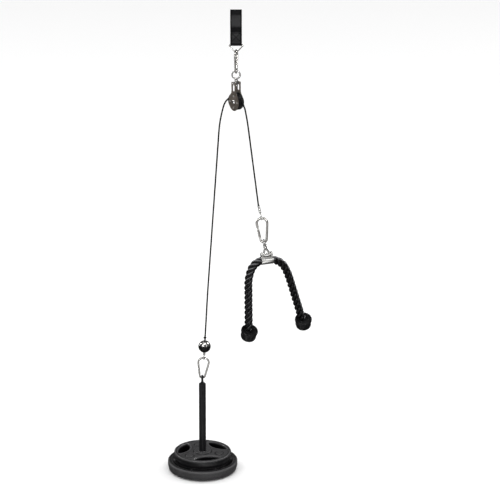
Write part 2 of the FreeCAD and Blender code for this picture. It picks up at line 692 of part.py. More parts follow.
# ---------------------------------------------------------------- cable
CABLE_CIRCLE = (0.0, -AXLE_DROP, CABLE_BEND)
WEIGHT_LEAVES = math.pi / 2 + math.radians(WRAP_WEIGHT)
HANDLE_LEAVES = math.pi / 2 - math.radians(WRAP_HANDLE)
WHEEL_PLANE_FRAME = frame(Vector(0, 0, 0), CABLE_HEADING, Z_AXIS)


def cable_bend():
    arc = Part.Wire([circle_arc(CABLE_CIRCLE, HANDLE_LEAVES, WEIGHT_LEAVES)])
    return put(sweep(arc, CABLE_RADIUS), WHEEL_PLANE_FRAME)


def cable_run(leaves, bow, foot):
    """Slack run from the wheel to a fitting; bow holds its corners."""
    path = rounded_path(on_circle(CABLE_CIRCLE, leaves), bow, flat(*foot))
    return put(sweep(trimmed(path, CABLE_GAP), CABLE_RADIUS), WHEEL_PLANE_FRAME)


def cable_weight_run():
    return cable_run(WEIGHT_LEAVES, WEIGHT_BOW, RUN_END_WEIGHT)


def cable_handle_run():
    return cable_run(HANDLE_LEAVES, HANDLE_BOW, RUN_END_HANDLE)


# ---------------------------------------------------------------- weight end, in its own frame
def weight_run_length():
    return (WEIGHT_TOP - WEIGHT_RUN_END).Length


def weight_cable_tail():
    foot = WEIGHT_FERRULE_LIFT + WEIGHT_FERRULE_HIGH
    return put(rod(flat(0, foot), flat(0, weight_run_length() - CABLE_GAP), CABLE_RADIUS), WEIGHT_FRAME)


def stop_collar():
    low = STOP_COLLAR_LIFT
    top = low + STOP_COLLAR_HIGH
    taper = STOP_COLLAR_TAPER
    collar = turned([
        (CABLE_RADIUS + GAP, low), (STOP_COLLAR_RADIUS - taper, low),
        (STOP_COLLAR_RADIUS, low + STOP_COLLAR_FOOT), (STOP_COLLAR_RADIUS, top - taper),
        (STOP_COLLAR_RADIUS - taper, top), (CABLE_RADIUS + GAP, top),
    ], Vector(0, 0, 0), Z_AXIS)
    return put(collar, WEIGHT_FRAME)


def ball_body():
    ball = Part.makeSphere(BALL_STOP_RADIUS, flat(0, BALL_LIFT))
    cut_away = rod(flat(0, BALL_LIFT - BALL_FLAT), flat(0, 0), BALL_STOP_RADIUS)
    return ball.cut(cut_away)


def ball_core():
    """Space that the cap sits round: the ball less the cap's thickness, and all below the cap."""
    core = Part.makeSphere(BALL_STOP_RADIUS - BALL_CAP_THICK, flat(0, BALL_LIFT))
    lower = rod(flat(0, 0), flat(0, BALL_LIFT + BALL_CAP_FROM), 2 * BALL_STOP_RADIUS)
    return core.fuse(lower)


def ball_bore():
    return rod(flat(0, 0), flat(0, 2 * BALL_LIFT), CABLE_RADIUS + BALL_BORE_SPARE)


def ball_stop():
    return put(ball_body().common(ball_core()).cut(ball_bore()), WEIGHT_FRAME)


def ball_cap():
    return put(ball_body().cut(ball_core()).cut(ball_bore()), WEIGHT_FRAME)


def ferrule(low, high):
    """Oval crimp sleeve with one hole for each strand."""
    outline = hull_wire([(FERRULE_SPREAD, 0.0, FERRULE_HALF), (-FERRULE_SPREAD, 0.0, FERRULE_HALF)])
    body = slab(outline, 0, high)
    body = put(body, Placement(flat(0, low + high), Rotation(Vector(1, 0, 0), -90)))
    body = body.makeFillet(FERRULE_EDGE, [edge for edge in body.Edges if edge.BoundBox.ZLength < GAP])
    for x in (-FERRULE_SPREAD, FERRULE_SPREAD):
        body = body.cut(rod(flat(x, low - 1), flat(x, low + high + 1), STRAND_RADIUS + GAP))
    return body


def wire_eye(bend, low, high):
    """Strand that comes out of the ferrule, turns round the hook and goes back in."""
    bottom = (0.0, bend, bend)
    spread = FERRULE_SPREAD
    knee = low - KNEE_DROP
    lean = math.asin((bend - spread) / (knee - bend))
    right = on_circle(bottom, lean)
    left = on_circle(bottom, math.pi - lean)
    path = Part.Wire([
        Part.makeLine(flat(-spread, knee), left),
        circle_arc(bottom, math.pi - lean, 2 * math.pi + lean),
        Part.makeLine(right, flat(spread, knee)),
    ])
    loop = sweep(path, STRAND_RADIUS)
    legs = [rod(flat(x, knee), flat(x, low + high), STRAND_RADIUS) for x in (-spread, spread)]
    knees = [Part.makeSphere(STRAND_RADIUS, flat(x, knee)) for x in (-spread, spread)]
    return fused(loop, *legs, *knees)


def edge_on(shape, placement, wire):
    """Stand a strand eye at right angles to the hook whose wire it holds."""
    drop = wire + STRAND_RADIUS + HANG_GAP
    quarter = Placement(flat(0, -drop), Rotation(Z_AXIS, 90))
    return put(put(shape, quarter), placement)


def weight_fitting(shape):
    return edge_on(shape, WEIGHT_FRAME, SMALL_HOOK["wire"])


def weight_ferrule_low():
    return WEIGHT_FERRULE_LIFT + SMALL_HOOK["wire"] + STRAND_RADIUS + HANG_GAP


def weight_ferrule():
    return weight_fitting(ferrule(weight_ferrule_low(), WEIGHT_FERRULE_HIGH))


def weight_eye():
    return weight_fitting(wire_eye(WEIGHT_EYE_BEND, weight_ferrule_low(), WEIGHT_FERRULE_HIGH))


# ---------------------------------------------------------------- loading pin
def pin_eye_bolt():
    """Eye bolt seen edge-on, standing in the pin's cap."""
    centre = PIN_EYE_TOP - Z_AXIS * PIN_EYE_BEND
    eye = Part.makeTorus(PIN_EYE_BEND, PIN_EYE_WIRE, centre, X_AXIS)
    neck_top = centre - Z_AXIS * PIN_EYE_BEND
    end = Vector(centre.x, centre.y, PIN_TUBE_TOP - PIN_CAP_HIGH)
    return fused(eye, rod(neck_top, end, PIN_SHANK_RADIUS))


def pin_cap():
    """Domed plug that closes the tube's top and holds the eye bolt."""
    radius = PIN_TUBE_RADIUS
    plug = radius - PIN_TUBE_WALL - GAP
    cap = turned([
        (PIN_SHANK_RADIUS + GAP, -PIN_CAP_HIGH), (plug, -PIN_CAP_HIGH), (plug, 0.0), (radius, 0.0),
        *[(radius * part, height) for part, height in PIN_CAP_DOME],
        (PIN_SHANK_RADIUS + GAP, PIN_CAP_TOP),
    ], PIN_FOOT + Z_AXIS * PIN_TUBE_TOP, Z_AXIS)
    return cap


def pin_tube():
    return tube(PIN_FOOT + Z_AXIS * PIN_TUBE_BOTTOM, PIN_FOOT + Z_AXIS * PIN_TUBE_TOP,
                PIN_TUBE_RADIUS, PIN_TUBE_RADIUS - PIN_TUBE_WALL)


def pin_base():
    """Round foot plate with a stud that the tube screws onto."""
    edge = PIN_BASE_EDGE
    base = turned([
        (0.0, -PIN_BASE_HIGH), (PIN_BASE_RADIUS - edge, -PIN_BASE_HIGH),
        (PIN_BASE_RADIUS, edge - PIN_BASE_HIGH), (PIN_BASE_RADIUS, -edge),
        (PIN_BASE_RADIUS - edge, 0.0), (PIN_STUD_RADIUS, 0.0),
        (PIN_STUD_RADIUS, PIN_STUD_HIGH), (0.0, PIN_STUD_HIGH),
    ], PIN_FOOT + Z_AXIS * PIN_TUBE_BOTTOM, Z_AXIS)
    return base


# ---------------------------------------------------------------- weight plates, foot at z = 0
def plate_blank(plate):
    """Dished disc with a lip, a sloped rim and a raised hub."""
    radius, high = plate["radius"], plate["high"]
    hub = radius * PLATE_HUB_PART
    lip = radius * PLATE_LIP_PART
    slope = PLATE_RIM_SLOPE
    face = high - PLATE_DISH
    drop, edge = PLATE_TOP_EDGE
    return turned([
        (PLATE_BORE, 0.0), (radius - slope - PLATE_FOOT_EDGE, 0.0), (radius - slope, PLATE_FOOT_EDGE),
        (radius, high * PLATE_BELLY_PART), (radius - drop, high - drop), (radius - edge, high),
        (lip, high), (lip - PLATE_DISH, face), (hub + PLATE_DISH, face), (hub, high), (PLATE_BORE, high),
    ], Vector(0, 0, 0), Z_AXIS)


def grip_opening(plate, angle):
    """Lens-shaped hand hole between an arc near the rim and a flatter inner bulge."""
    radius = plate["radius"]
    outer = radius * GRIP_OUTER_PART
    corners = [ring_edge(angle + side * GRIP_HALF_ANGLE) * outer for side in (-1, 1)]
    outer_mid = ring_edge(angle) * outer
    inner_mid = ring_edge(angle) * (radius * GRIP_INNER_PART)
    outline = Part.Wire([
        Part.Arc(corners[0], outer_mid, corners[1]).toShape(),
        Part.Arc(corners[1], inner_mid, corners[0]).toShape(),
    ])
    hole = Part.Face(outline).extrude(Z_AXIS * (plate["high"] + 2))
    hole.translate(Vector(0, 0, -1))
    upright = [edge for edge in hole.Edges if edge.Curve.TypeId == "Part::GeomLine"]
    return hole.makeFillet(GRIP_CORNER, upright)


def weight_plate(plate):
    solid = plate_blank(plate)
    for index in range(GRIP_COUNT):
        angle = plate["grip_turn"] + index * FULL_TURN / GRIP_COUNT
        solid = solid.cut(grip_opening(plate, angle))
    return put(solid, Placement(PIN_FOOT + Z_AXIS * plate["bottom"], Rotation()))


def plate_bush(plate):
    foot = PIN_FOOT + Z_AXIS * plate["bottom"]
    return tube(foot, foot + Z_AXIS * plate["high"], PLATE_BORE - GAP, BUSH_BORE)


# ---------------------------------------------------------------- handle end
def handle_fitting(shape):
    return edge_on(shape, HANDLE_FRAME, LARGE_HOOK["wire"])


def handle_ferrule_low():
    drop = LARGE_HOOK["wire"] + STRAND_RADIUS + HANG_GAP
    return (HANDLE_HOOK_TOP - HANDLE_RUN_END).Length + drop - HANDLE_FERRULE_HIGH - CABLE_RADIUS


def handle_ferrule():
    return handle_fitting(ferrule(handle_ferrule_low(), HANDLE_FERRULE_HIGH))


def handle_eye():
    return handle_fitting(wire_eye(HANDLE_EYE_BEND, handle_ferrule_low(), HANDLE_FERRULE_HIGH))


def rope_bail():
    """Forged eye on a stem that forks into two feet on the cross bolt."""
    drop = (BOLT_CENTRE - BAIL_TOP).Length
    eye = Part.makeTorus(BAIL_EYE_BEND, BAIL_WIRE, flat(0, -BAIL_EYE_BEND), X_AXIS)
    stem = rod(flat(0, -2 * BAIL_EYE_BEND), flat(0, -BAIL_FORK_DROP), BAIL_STEM)
    pieces = [put(eye, BAIL_FRAME), put(stem, BAIL_FRAME)]
    fork = BAIL_FRAME.multVec(flat(0, -BAIL_FORK_DROP + 1))
    pieces.append(Part.makeSphere(BAIL_STEM, fork))
    for side in (-1, 1):
        foot = BOLT_CENTRE + ROPE_HEADING * (side * BAIL_FOOT)
        half = ROPE_HEADING * BAIL_FOOT_HALF
        aim = foot + (fork - BOLT_CENTRE) * ((BAIL_FOOT_RADIUS - 1) / drop)
        pieces.append(rod(fork, aim, BAIL_LEG))
        pieces.append(rod(foot - half, foot + half, BAIL_FOOT_RADIUS))
    bail = fused(*pieces)
    reach = ROPE_HEADING * SLEEVE_HALF
    return bail.cut(rod(BOLT_CENTRE - reach, BOLT_CENTRE + reach, CROSS_BOLT_RADIUS + GAP))


def sleeve_bracket():
    """Tube round the rope with a lug at each end for the cross bolt."""
    axis_z = -SLEEVE_DROP
    outer = rod(flat(-SLEEVE_HALF, axis_z), flat(SLEEVE_HALF, axis_z), SLEEVE_RADIUS)
    pieces = [outer]
    for side in (-1, 1):
        low = side * LUG_REACH - (LUG_THICK if side > 0 else 0)
        ear = rod(flat(low, 0), flat(low + LUG_THICK, 0), LUG_HALF)
        web = Part.makeBox(LUG_THICK, 2 * LUG_HALF, SLEEVE_DROP, Vector(low, -LUG_HALF, axis_z))
        pieces += [ear, web]
    bracket = fused(*pieces)
    bore = rod(flat(-2 * SLEEVE_HALF, axis_z), flat(2 * SLEEVE_HALF, axis_z), SLEEVE_RADIUS - SLEEVE_WALL)
    hole = rod(flat(-2 * SLEEVE_HALF, 0), flat(2 * SLEEVE_HALF, 0), CROSS_BOLT_RADIUS + GAP)
    return put(bracket.cut(bore).cut(hole), BRACKET_FRAME)


def cross_bolt():
    start = flat(-LUG_REACH, 0)
    head = hexagon(start - X_AXIS * BOLT_HEAD_HIGH, X_AXIS, BOLT_HEAD_ACROSS, BOLT_HEAD_HIGH)
    shank = rod(start, flat(LUG_REACH + BOLT_HEAD_HIGH + 2, 0), CROSS_BOLT_RADIUS)
    return put(fused(head, shank), BRACKET_FRAME)


def cross_nut():
    start = flat(LUG_REACH, 0)
    nut = hexagon(start, X_AXIS, BOLT_HEAD_ACROSS, BOLT_HEAD_HIGH)
    return put(nut.cut(rod(start, start + X_AXIS * BOLT_HEAD_HIGH, CROSS_BOLT_RADIUS)), BRACKET_FRAME)


def rope_core():
    reach = flat(SLEEVE_HALF, 0)
    middle = flat(0, -SLEEVE_DROP)
    return put(rod(middle - reach, middle + reach, ROPE_RADIUS), BRACKET_FRAME)


def leg_path(points):
    """Middle line of a rope leg, from its free upper end into its stop."""
    whole = rounded_path(flat(*points[0]), points[1:-1], flat(*points[-1]))
    return trimmed(whole, LEG_START)


def rope_leg(points):
    """Leg of the rope from the sleeve's mouth into its end stop, with a domed upper end."""
    path = leg_path(points)
    top = path.Edges[0].valueAt(path.Edges[0].FirstParameter)
    return put(fused(sweep(path, ROPE_RADIUS), Part.makeSphere(ROPE_RADIUS, top)), BRACKET_FRAME)


def stop_frame(points, lean):
    """Frame at the rope's end, with Z back along the stop towards the rope."""
    return BRACKET_FRAME.multiply(frame(flat(*points[-1]), X_AXIS, lean * -1))


def end_stop(points, lean):
    """Rubber stop: a wide disc over a narrower band with a rounded foot."""
    top = STOP_DEPTH
    foot = top - STOP_HIGH
    band_top = foot + STOP_BAND_HIGH
    stop = turned([
        (0.0, foot),
        *[(STOP_BAND_RADIUS * part, foot + height) for part, height in STOP_TOE],
        (STOP_BAND_RADIUS, band_top), (STOP_RADIUS, band_top + STOP_STEP),
        *[(STOP_RADIUS - inward, top - down) for inward, down in STOP_SHOULDER],
        (0.0, top),
    ], Vector(0, 0, 0), Z_AXIS)
    placed = put(stop, stop_frame(points, lean))
    return placed.cut(put(sweep(leg_path(points), ROPE_RADIUS + GAP), BRACKET_FRAME))


# ---------------------------------------------------------------- the whole set
def build():
    parts = {
        "strap_webbing": strap_webbing(),
        "strap_tab": strap_tab(),
        "strap_stitching": strap_stitching(),
        "delta_ring": delta_ring(),
        "swivel_eye": swivel_eye(),
        "swivel_washer": swivel_washer(),
        "swivel_nut": swivel_nut(),
        "cheek_front": cheek(-1),
        "cheek_rear": cheek(1),
        "crosshead": crosshead(),
        "axle_bolt": axle_bolt(),
        "axle_nut": axle_nut(),
        "axle_spacers": axle_spacers(),
        "bearing_inner_ring": bearing_ring(AXLE_RADIUS + GAP, BEARING_PITCH - BEARING_LAND),
        "bearing_outer_ring": bearing_ring(BEARING_PITCH + BEARING_LAND, BEARING_RADIUS),
        "bearing_balls": bearing_balls(),
        "pulley_wheel": pulley_wheel(),
        "cable_bend": cable_bend(),
        "cable_weight_run": cable_weight_run(),
        "cable_handle_run": cable_handle_run(),
        "weight_cable_tail": weight_cable_tail(),
        "stop_collar": stop_collar(),
        "ball_stop": ball_stop(),
        "ball_cap": ball_cap(),
        "weight_ferrule": weight_ferrule(),
        "weight_eye": weight_eye(),
        "pin_eye_bolt": pin_eye_bolt(),
        "pin_cap": pin_cap(),
        "pin_tube": pin_tube(),
        "pin_base": pin_base(),
        "upper_plate": weight_plate(UPPER_PLATE),
        "upper_plate_bush": plate_bush(UPPER_PLATE),
        "lower_plate": weight_plate(LOWER_PLATE),
        "lower_plate_bush": plate_bush(LOWER_PLATE),
        "handle_ferrule": handle_ferrule(),
        "handle_eye": handle_eye(),
        "rope_bail": rope_bail(),
        "sleeve_bracket": sleeve_bracket(),
        "cross_bolt": cross_bolt(),
        "cross_nut": cross_nut(),
        "rope_core": rope_core(),
        "rope_left": rope_leg(LEFT_LEG),
        "rope_right": rope_leg(RIGHT_LEG),
        "end_stop_left": end_stop(LEFT_LEG, STOP_LEFT_LEAN),
        "end_stop_right": end_stop(RIGHT_LEG, STOP_RIGHT_LEAN),
    }
    parts.update(hook_parts("top_hook", SMALL_HOOK, TOP_HOOK_FRAME))
    parts.update(hook_parts("weight_hook", SMALL_HOOK, WEIGHT_HOOK_FRAME))
    parts.update(hook_parts("handle_hook", LARGE_HOOK, HANDLE_HOOK_FRAME))
    return parts


def main():
    os.makedirs("parts", exist_ok=True)
    for name, shape in build().items():
        shape.exportStep("parts/" + name + ".step")
        print(name, len(shape.Solids), shape.isValid(), round(shape.Volume, 1))


if __name__ == "__main__":
    main()
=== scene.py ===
import json
import math

import bpy
import numpy as np
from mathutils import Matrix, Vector
from mathutils.geometry import delaunay_2d_cdt

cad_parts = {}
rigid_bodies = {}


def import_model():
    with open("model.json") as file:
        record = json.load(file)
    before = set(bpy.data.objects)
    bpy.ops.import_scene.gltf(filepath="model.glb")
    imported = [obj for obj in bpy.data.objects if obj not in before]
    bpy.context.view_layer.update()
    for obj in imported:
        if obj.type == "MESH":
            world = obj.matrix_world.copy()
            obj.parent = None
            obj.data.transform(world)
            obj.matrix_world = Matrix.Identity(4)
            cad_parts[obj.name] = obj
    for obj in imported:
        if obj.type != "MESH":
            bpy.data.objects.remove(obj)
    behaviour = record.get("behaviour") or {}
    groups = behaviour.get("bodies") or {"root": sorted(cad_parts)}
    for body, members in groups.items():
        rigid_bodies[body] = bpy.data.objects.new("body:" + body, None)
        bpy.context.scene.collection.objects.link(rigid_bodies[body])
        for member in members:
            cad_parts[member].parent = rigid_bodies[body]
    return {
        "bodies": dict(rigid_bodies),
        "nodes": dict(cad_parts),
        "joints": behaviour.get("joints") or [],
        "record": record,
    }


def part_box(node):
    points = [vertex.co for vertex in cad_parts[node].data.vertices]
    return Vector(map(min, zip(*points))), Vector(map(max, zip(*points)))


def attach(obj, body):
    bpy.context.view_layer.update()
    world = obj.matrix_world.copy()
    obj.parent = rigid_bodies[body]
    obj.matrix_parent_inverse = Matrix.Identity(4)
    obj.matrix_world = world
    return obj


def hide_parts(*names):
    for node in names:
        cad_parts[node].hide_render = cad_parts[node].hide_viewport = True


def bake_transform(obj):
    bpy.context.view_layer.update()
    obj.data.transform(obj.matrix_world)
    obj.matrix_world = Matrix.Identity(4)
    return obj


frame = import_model()
for spare in set(bpy.data.objects) - set(frame["nodes"].values()) - set(frame["bodies"].values()):
    bpy.data.objects.remove(spare)
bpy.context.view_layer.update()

# A cable pull-down set hanging from a bar on the X axis. Shapes are worked out in millimetres and
# made in metres by mesh_piece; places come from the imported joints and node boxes.
MM = 0.001
UP = np.array((0.0, 0.0, 1.0))
JOINTS = {joint["name"]: joint for joint in frame["joints"]}

# driving sizes, the same as the CAD's
STRAP_WIDTH = 48.0
STRAP_THICK = 2.5
BAR_LOOP_RADIUS = 14.1
RING_WIRE = 2.5
RING_HALF_BAR = 24.3
RING_CORNER = 3.7
RING_TIP = 7.6
CABLE_RADIUS = 3.0
COAT_SWELL = 0.3
CABLE_BEND = 30.0
STRAND_RADIUS = 2.25
HANG_GAP = 0.1
ROPE_RADIUS = 16.0
ROPE_PITCH = 66.0
SMALL_HOOK = {"wire": 4.0, "wide": 22.5, "narrow": 11.5, "reach": 62.0}
LARGE_HOOK = {"wire": 5.0, "wide": 22.0, "narrow": 13.0, "reach": 70.0}
NOSE_PART = 0.22
STRAP_DROP = 133.5
RING_DROP = 165.3
TAB_TOP = -76.0
TAB_LENGTH = 46.0
STITCH_HALF = 17.0
STITCH_PITCH = 4.4
STITCH_LENGTH = 3.4
SWIVEL_EYE = {"wire": 3.25, "bend": 16.5, "neck_bend": 3.6, "neck_drop": 20.5}
CHEEK = {"top": 84.6, "bottom": 39.0, "neck": 12.8, "belly": 28.5, "flare": 46.0, "corner": 2.5, "slot_top": 73.1,
         "slot_length": 27.0, "slot_half": 5.0, "hole": 2.4, "hole_side": 20.5, "hole_rise": 25.0}
UPPER_PLATE = {"radius": 123.0, "high": 40.0, "grip_turn": 42.7}
LOWER_PLATE = {"radius": 150.0, "high": 40.0, "grip_turn": 93.0}
GRIP_HALF_ANGLE = 33.0
BAIL = {"bend": 10.0, "wire": 4.0, "stem": 7.5, "fork": 34.0, "leg": 4.0, "foot": 13.0, "foot_half": 4.0, "foot_radius": 7.5}
SLEEVE = {"drop": 26.0, "radius": 17.5, "wall": 1.3, "half": 26.5, "lug": 4.0, "lug_half": 10.0, "lug_reach": 22.0}
LEFT_LEG = ((-26.5, -26.0), (-62.0, -38.0, 58.0), (-81.5, -100.0, 150.0), (-80.0, -349.0))
RIGHT_LEG = ((26.5, -26.0), (70.0, -45.0, 78.0), (96.0, -100.0, 280.0), (165.0, -329.0))
STOP_LEANS = {"left": (0.0, 0.50, -1.0), "right": (0.18, 0.50, -1.0)}


# ---------------------------------------------------------------- frames
def unit(vector):
    vector = np.array(vector, float)
    return vector / np.linalg.norm(vector)


def joint_pos(name):
    return np.array(JOINTS[name]["pos_m"], float) / MM


def joint_axis(name):
    return unit(JOINTS[name]["axis"])


def box_centre(node):
    low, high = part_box(node)
    return np.array((low + high) / 2) / MM


def place(origin, x_axis, z_axis):
    """4x4 frame with Z along z_axis and X as near to x_axis as it can be."""
    z = unit(z_axis)
    x = unit(np.array(x_axis, float) - np.dot(x_axis, z) * z)
    matrix = np.eye(4)
    matrix[:3, 0], matrix[:3, 1], matrix[:3, 2], matrix[:3, 3] = x, np.cross(z, x), z, origin
    return matrix


def moved(matrix, points):
    return np.asarray(points, float) @ matrix[:3, :3].T + matrix[:3, 3]


def shifted(matrix, x=0.0, y=0.0, z=0.0):
    result = matrix.copy()
    result[:3, 3] = moved(matrix, (x, y, z))
    return result


def hook_place(name):
    side = joint_axis(name + "_swing")
    return place(joint_pos(name + "_swing"), side, np.cross(side, joint_axis(name + "_gate_open")))


WORLD = np.eye(4)
AXLE = joint_axis("wheel_spin")
CABLE_HEADING = np.cross(AXLE, UP)
BLOCK = place(joint_pos("wheel_spin"), CABLE_HEADING, UP)
AXLE_PLACE = place(joint_pos("wheel_spin"), CABLE_HEADING, AXLE)
WHEEL_PLANE = place((0, 0, 0), CABLE_HEADING, UP)
TOP_HOOK = hook_place("top_hook")
WEIGHT_HOOK = hook_place("weight_hook")
HANDLE_HOOK = hook_place("handle_hook")
WEIGHT_END = place(joint_pos("weight_hook_swing"), (1, 0, 0), box_centre("ball_cap") - joint_pos("weight_hook_swing"))
HANDLE_END = place(joint_pos("handle_hook_swing"), (1, 0, 0), box_centre("handle_ferrule") - joint_pos("handle_hook_swing"))
PIN = place(joint_pos("pin_swing"), (1, 0, 0), UP)
BAIL_PLACE = place(joint_pos("bail_swing"), (1, 0, 0), joint_pos("bail_swing") - joint_pos("bracket_tilt"))
BRACKET = place(joint_pos("bracket_tilt"), joint_axis("bracket_tilt"), UP)


# ---------------------------------------------------------------- planar paths, in (x, z)
def arc(centre, radius, start, end, step=2.0 * math.pi / 96):
    """Points of an arc from angle start up to angle end, both included."""
    while end <= start:
        end += 2 * math.pi
    count = max(3, int(math.ceil((end - start) / step)) + 1)
    angles = np.linspace(start, end, count)
    return np.stack([centre[0] + radius * np.cos(angles), centre[1] + radius * np.sin(angles)], 1)


def hull_angles(circles):
    """Angles of the outer tangents between neighbours of a counter-clockwise ring of (x, z, radius)."""
    angles = []
    for index, (x1, z1, r1) in enumerate(circles):
        x2, z2, r2 = circles[(index + 1) % len(circles)]
        run = math.hypot(x2 - x1, z2 - z1)
        angles.append(math.atan2(z2 - z1, x2 - x1) - math.pi / 2 + math.asin((r1 - r2) / run))
    return angles


def hull_path(circles, start=0):
    """Arcs of the closed curve round the circles; the lines between them are left as single steps."""
    angles = hull_angles(circles)
    parts = []
    for offset in range(len(circles)):
        index = (start + offset) % len(circles)
        x, z, radius = circles[index]
        parts.append(arc((x, z), radius, angles[index - 1], angles[index]))
    return np.concatenate(parts)


def resampled(path, step, closed=False):
    """The same path with points spaced evenly, about step apart."""
    if closed:
        path = np.concatenate([path, path[:1]])
    lengths = np.concatenate([[0], np.cumsum(np.linalg.norm(np.diff(path, axis=0), axis=1))])
    count = max(4, int(round(lengths[-1] / step)) + 1)
    along = np.linspace(0, lengths[-1], count)
    result = np.stack([np.interp(along, lengths, path[:, k]) for k in range(path.shape[1])], 1)
    return result[:-1] if closed else result


def softened(path, passes, closed=False):
    """Path with its changes of bend evened out; the ends stay where they are."""
    for _ in range(passes):
        if closed:
            path = (np.roll(path, 1, 0) + 2 * path + np.roll(path, -1, 0)) / 4
        else:
            inner = (path[:-2] + 2 * path[1:-1] + path[2:]) / 4
            path = np.concatenate([path[:1], inner, path[-1:]])
    return path


def rounded_path(start, corners, end):
    """Line through corners given as (x, z, bend), each turned with an arc of that radius."""
    points = [np.array(start, float)]
    here = points[0]
    for index, (x, z, bend) in enumerate(corners):
        corner = np.array((x, z))
        following = np.array(corners[index + 1][:2] if index + 1 < len(corners) else end, float)
        back, ahead = unit(here - corner), unit(following - corner)
        half = math.acos(np.clip(np.dot(back, ahead), -1, 1)) / 2
        first = corner + back * bend / math.tan(half)
        last = corner + ahead * bend / math.tan(half)
        centre = corner + unit(back + ahead) * bend / math.sin(half)
        turn = math.pi - 2 * half
        for share in np.linspace(0, 1, 12):
            blend = unit((first - centre) * math.sin((1 - share) * turn) + (last - centre) * math.sin(share * turn))
            points.append(centre + blend * bend)
        here = last
    points.append(np.array(end, float))
    return np.array(points)


def standing(path):
    """(x, z) points as points of an XZ plane."""
    return np.stack([path[:, 0], np.zeros(len(path)), path[:, 1]], 1)


# ---------------------------------------------------------------- mesh building
def mesh_piece(name, verts, faces, uvs, sharp=35.0):
    mesh = bpy.data.meshes.new(name)
    mesh.from_pydata((np.asarray(verts) * MM).tolist(), [], [list(map(int, face)) for face in faces])
    layer = mesh.uv_layers.new(name="UVMap")
    layer.data.foreach_set("uv", (np.asarray(uvs) * (MM, 1)).astype(np.float32).ravel())
    finish_mesh(mesh, sharp)
    piece = bpy.data.objects.new(name, mesh)
    bpy.context.scene.collection.objects.link(piece)
    return piece


def finish_mesh(mesh, sharp):
    mesh.validate(clean_customdata=False)
    mesh.polygons.foreach_set("use_smooth", [True] * len(mesh.polygons))
    mesh.set_sharp_from_angle(angle=math.radians(sharp))
    mesh.update()


def grid_faces(rows, columns, closed_rows, closed_columns):
    row = np.arange(rows if closed_rows else rows - 1)
    column = np.arange(columns if closed_columns else columns - 1)
    r0, c0 = np.meshgrid(row, column, indexing="ij")
    r1, c1 = (r0 + 1) % rows, (c0 + 1) % columns
    faces = np.stack([r0 * columns + c0, r0 * columns + c1, r1 * columns + c1, r1 * columns + c0], -1).reshape(-1, 4)
    corners = np.stack([np.stack([r0, c0], -1), np.stack([r0, c0 + 1], -1),
                        np.stack([r0 + 1, c0 + 1], -1), np.stack([r0 + 1, c0], -1)], 2).reshape(-1, 2)
    return faces, corners.astype(float)


def grid_data(grid, closed_rows=False, closed_columns=True, caps=False):
    """Vertices, faces and UVs of a grid of points; U runs along the rows by length, V round them from 0 to 1."""
    rows, columns, _ = grid.shape
    faces, corners = grid_faces(rows, columns, closed_rows, closed_columns)
    spine = grid.mean(1)
    lengths = np.concatenate([[0], np.cumsum(np.linalg.norm(np.diff(spine, axis=0), axis=1))])
    if closed_rows:
        lengths = np.concatenate([lengths, [lengths[-1] + np.linalg.norm(spine[0] - spine[-1])]])
    uvs = np.stack([np.interp(corners[:, 0], np.arange(len(lengths)), lengths), corners[:, 1] / columns], 1)
    faces = faces.tolist()
    if caps:
        first = list(range(columns))
        last = [(rows - 1) * columns + k for k in range(columns)]
        faces += [first[::-1], last]
        uvs = np.concatenate([uvs, np.zeros((2 * columns, 2))])
    return grid.reshape(-1, 3), faces, uvs


def joined(chunks):
    """Several (verts, faces, uvs) as one."""
    verts, faces, uvs, base = [], [], [], 0
    for v, f, uv in chunks:
        verts.append(np.asarray(v))
        faces += [[i + base for i in face] for face in f]
        uvs.append(np.asarray(uv).reshape(-1, 2))
        base += len(v)
    return np.concatenate(verts), faces, np.concatenate(uvs)


def lathe(profile, sides=96, closed=True):
    """Grid turned round local Z from (radius, height) points, listed so that the outside is on the right."""
    angles = np.linspace(0, 2 * math.pi, sides, endpoint=False)
    profile = np.array(profile, float)
    ring = np.stack([np.cos(angles), np.sin(angles)], 1)
    xy = profile[:, None, :1] * ring[None]
    z = np.repeat(profile[:, None, 1:], sides, 1)
    return grid_data(np.concatenate([xy, z], 2), closed_rows=closed)


def eased(profile, radius=0.6, steps=4):
    """Closed outline with its corners rounded."""
    points = [np.array(p, float) for p in profile]
    result = []
    for index, corner in enumerate(points):
        before, after = points[index - 1], points[(index + 1) % len(points)]
        reach = min(radius, np.linalg.norm(before - corner) * 0.45, np.linalg.norm(after - corner) * 0.45)
        first = corner + unit(before - corner) * reach
        last = corner + unit(after - corner) * reach
        for t in np.linspace(0, 1, steps):
            result.append(first * (1 - t) ** 2 + corner * 2 * t * (1 - t) + last * t ** 2)
    return np.array(result)


def tangents(path, closed):
    if closed:
        steps = np.roll(path, -1, 0) - np.roll(path, 1, 0)
    else:
        steps = np.gradient(path, axis=0)
    return steps / np.linalg.norm(steps, axis=1)[:, None]


def tube_grid(path, radius, across, sides=32, closed=False):
    """Rings round a planar path; across is the plane's normal, radius a number or one per point."""
    along = tangents(path, closed)
    out = np.cross(along, across)
    out /= np.linalg.norm(out, axis=1)[:, None]
    radius = np.broadcast_to(np.asarray(radius, float), (len(path),))
    angles = np.linspace(0, 2 * math.pi, sides, endpoint=False)
    ring = np.cos(angles)[None, :, None] * out[:, None] + np.sin(angles)[None, :, None] * np.asarray(across)
    return path[:, None] + ring * radius[:, None, None]


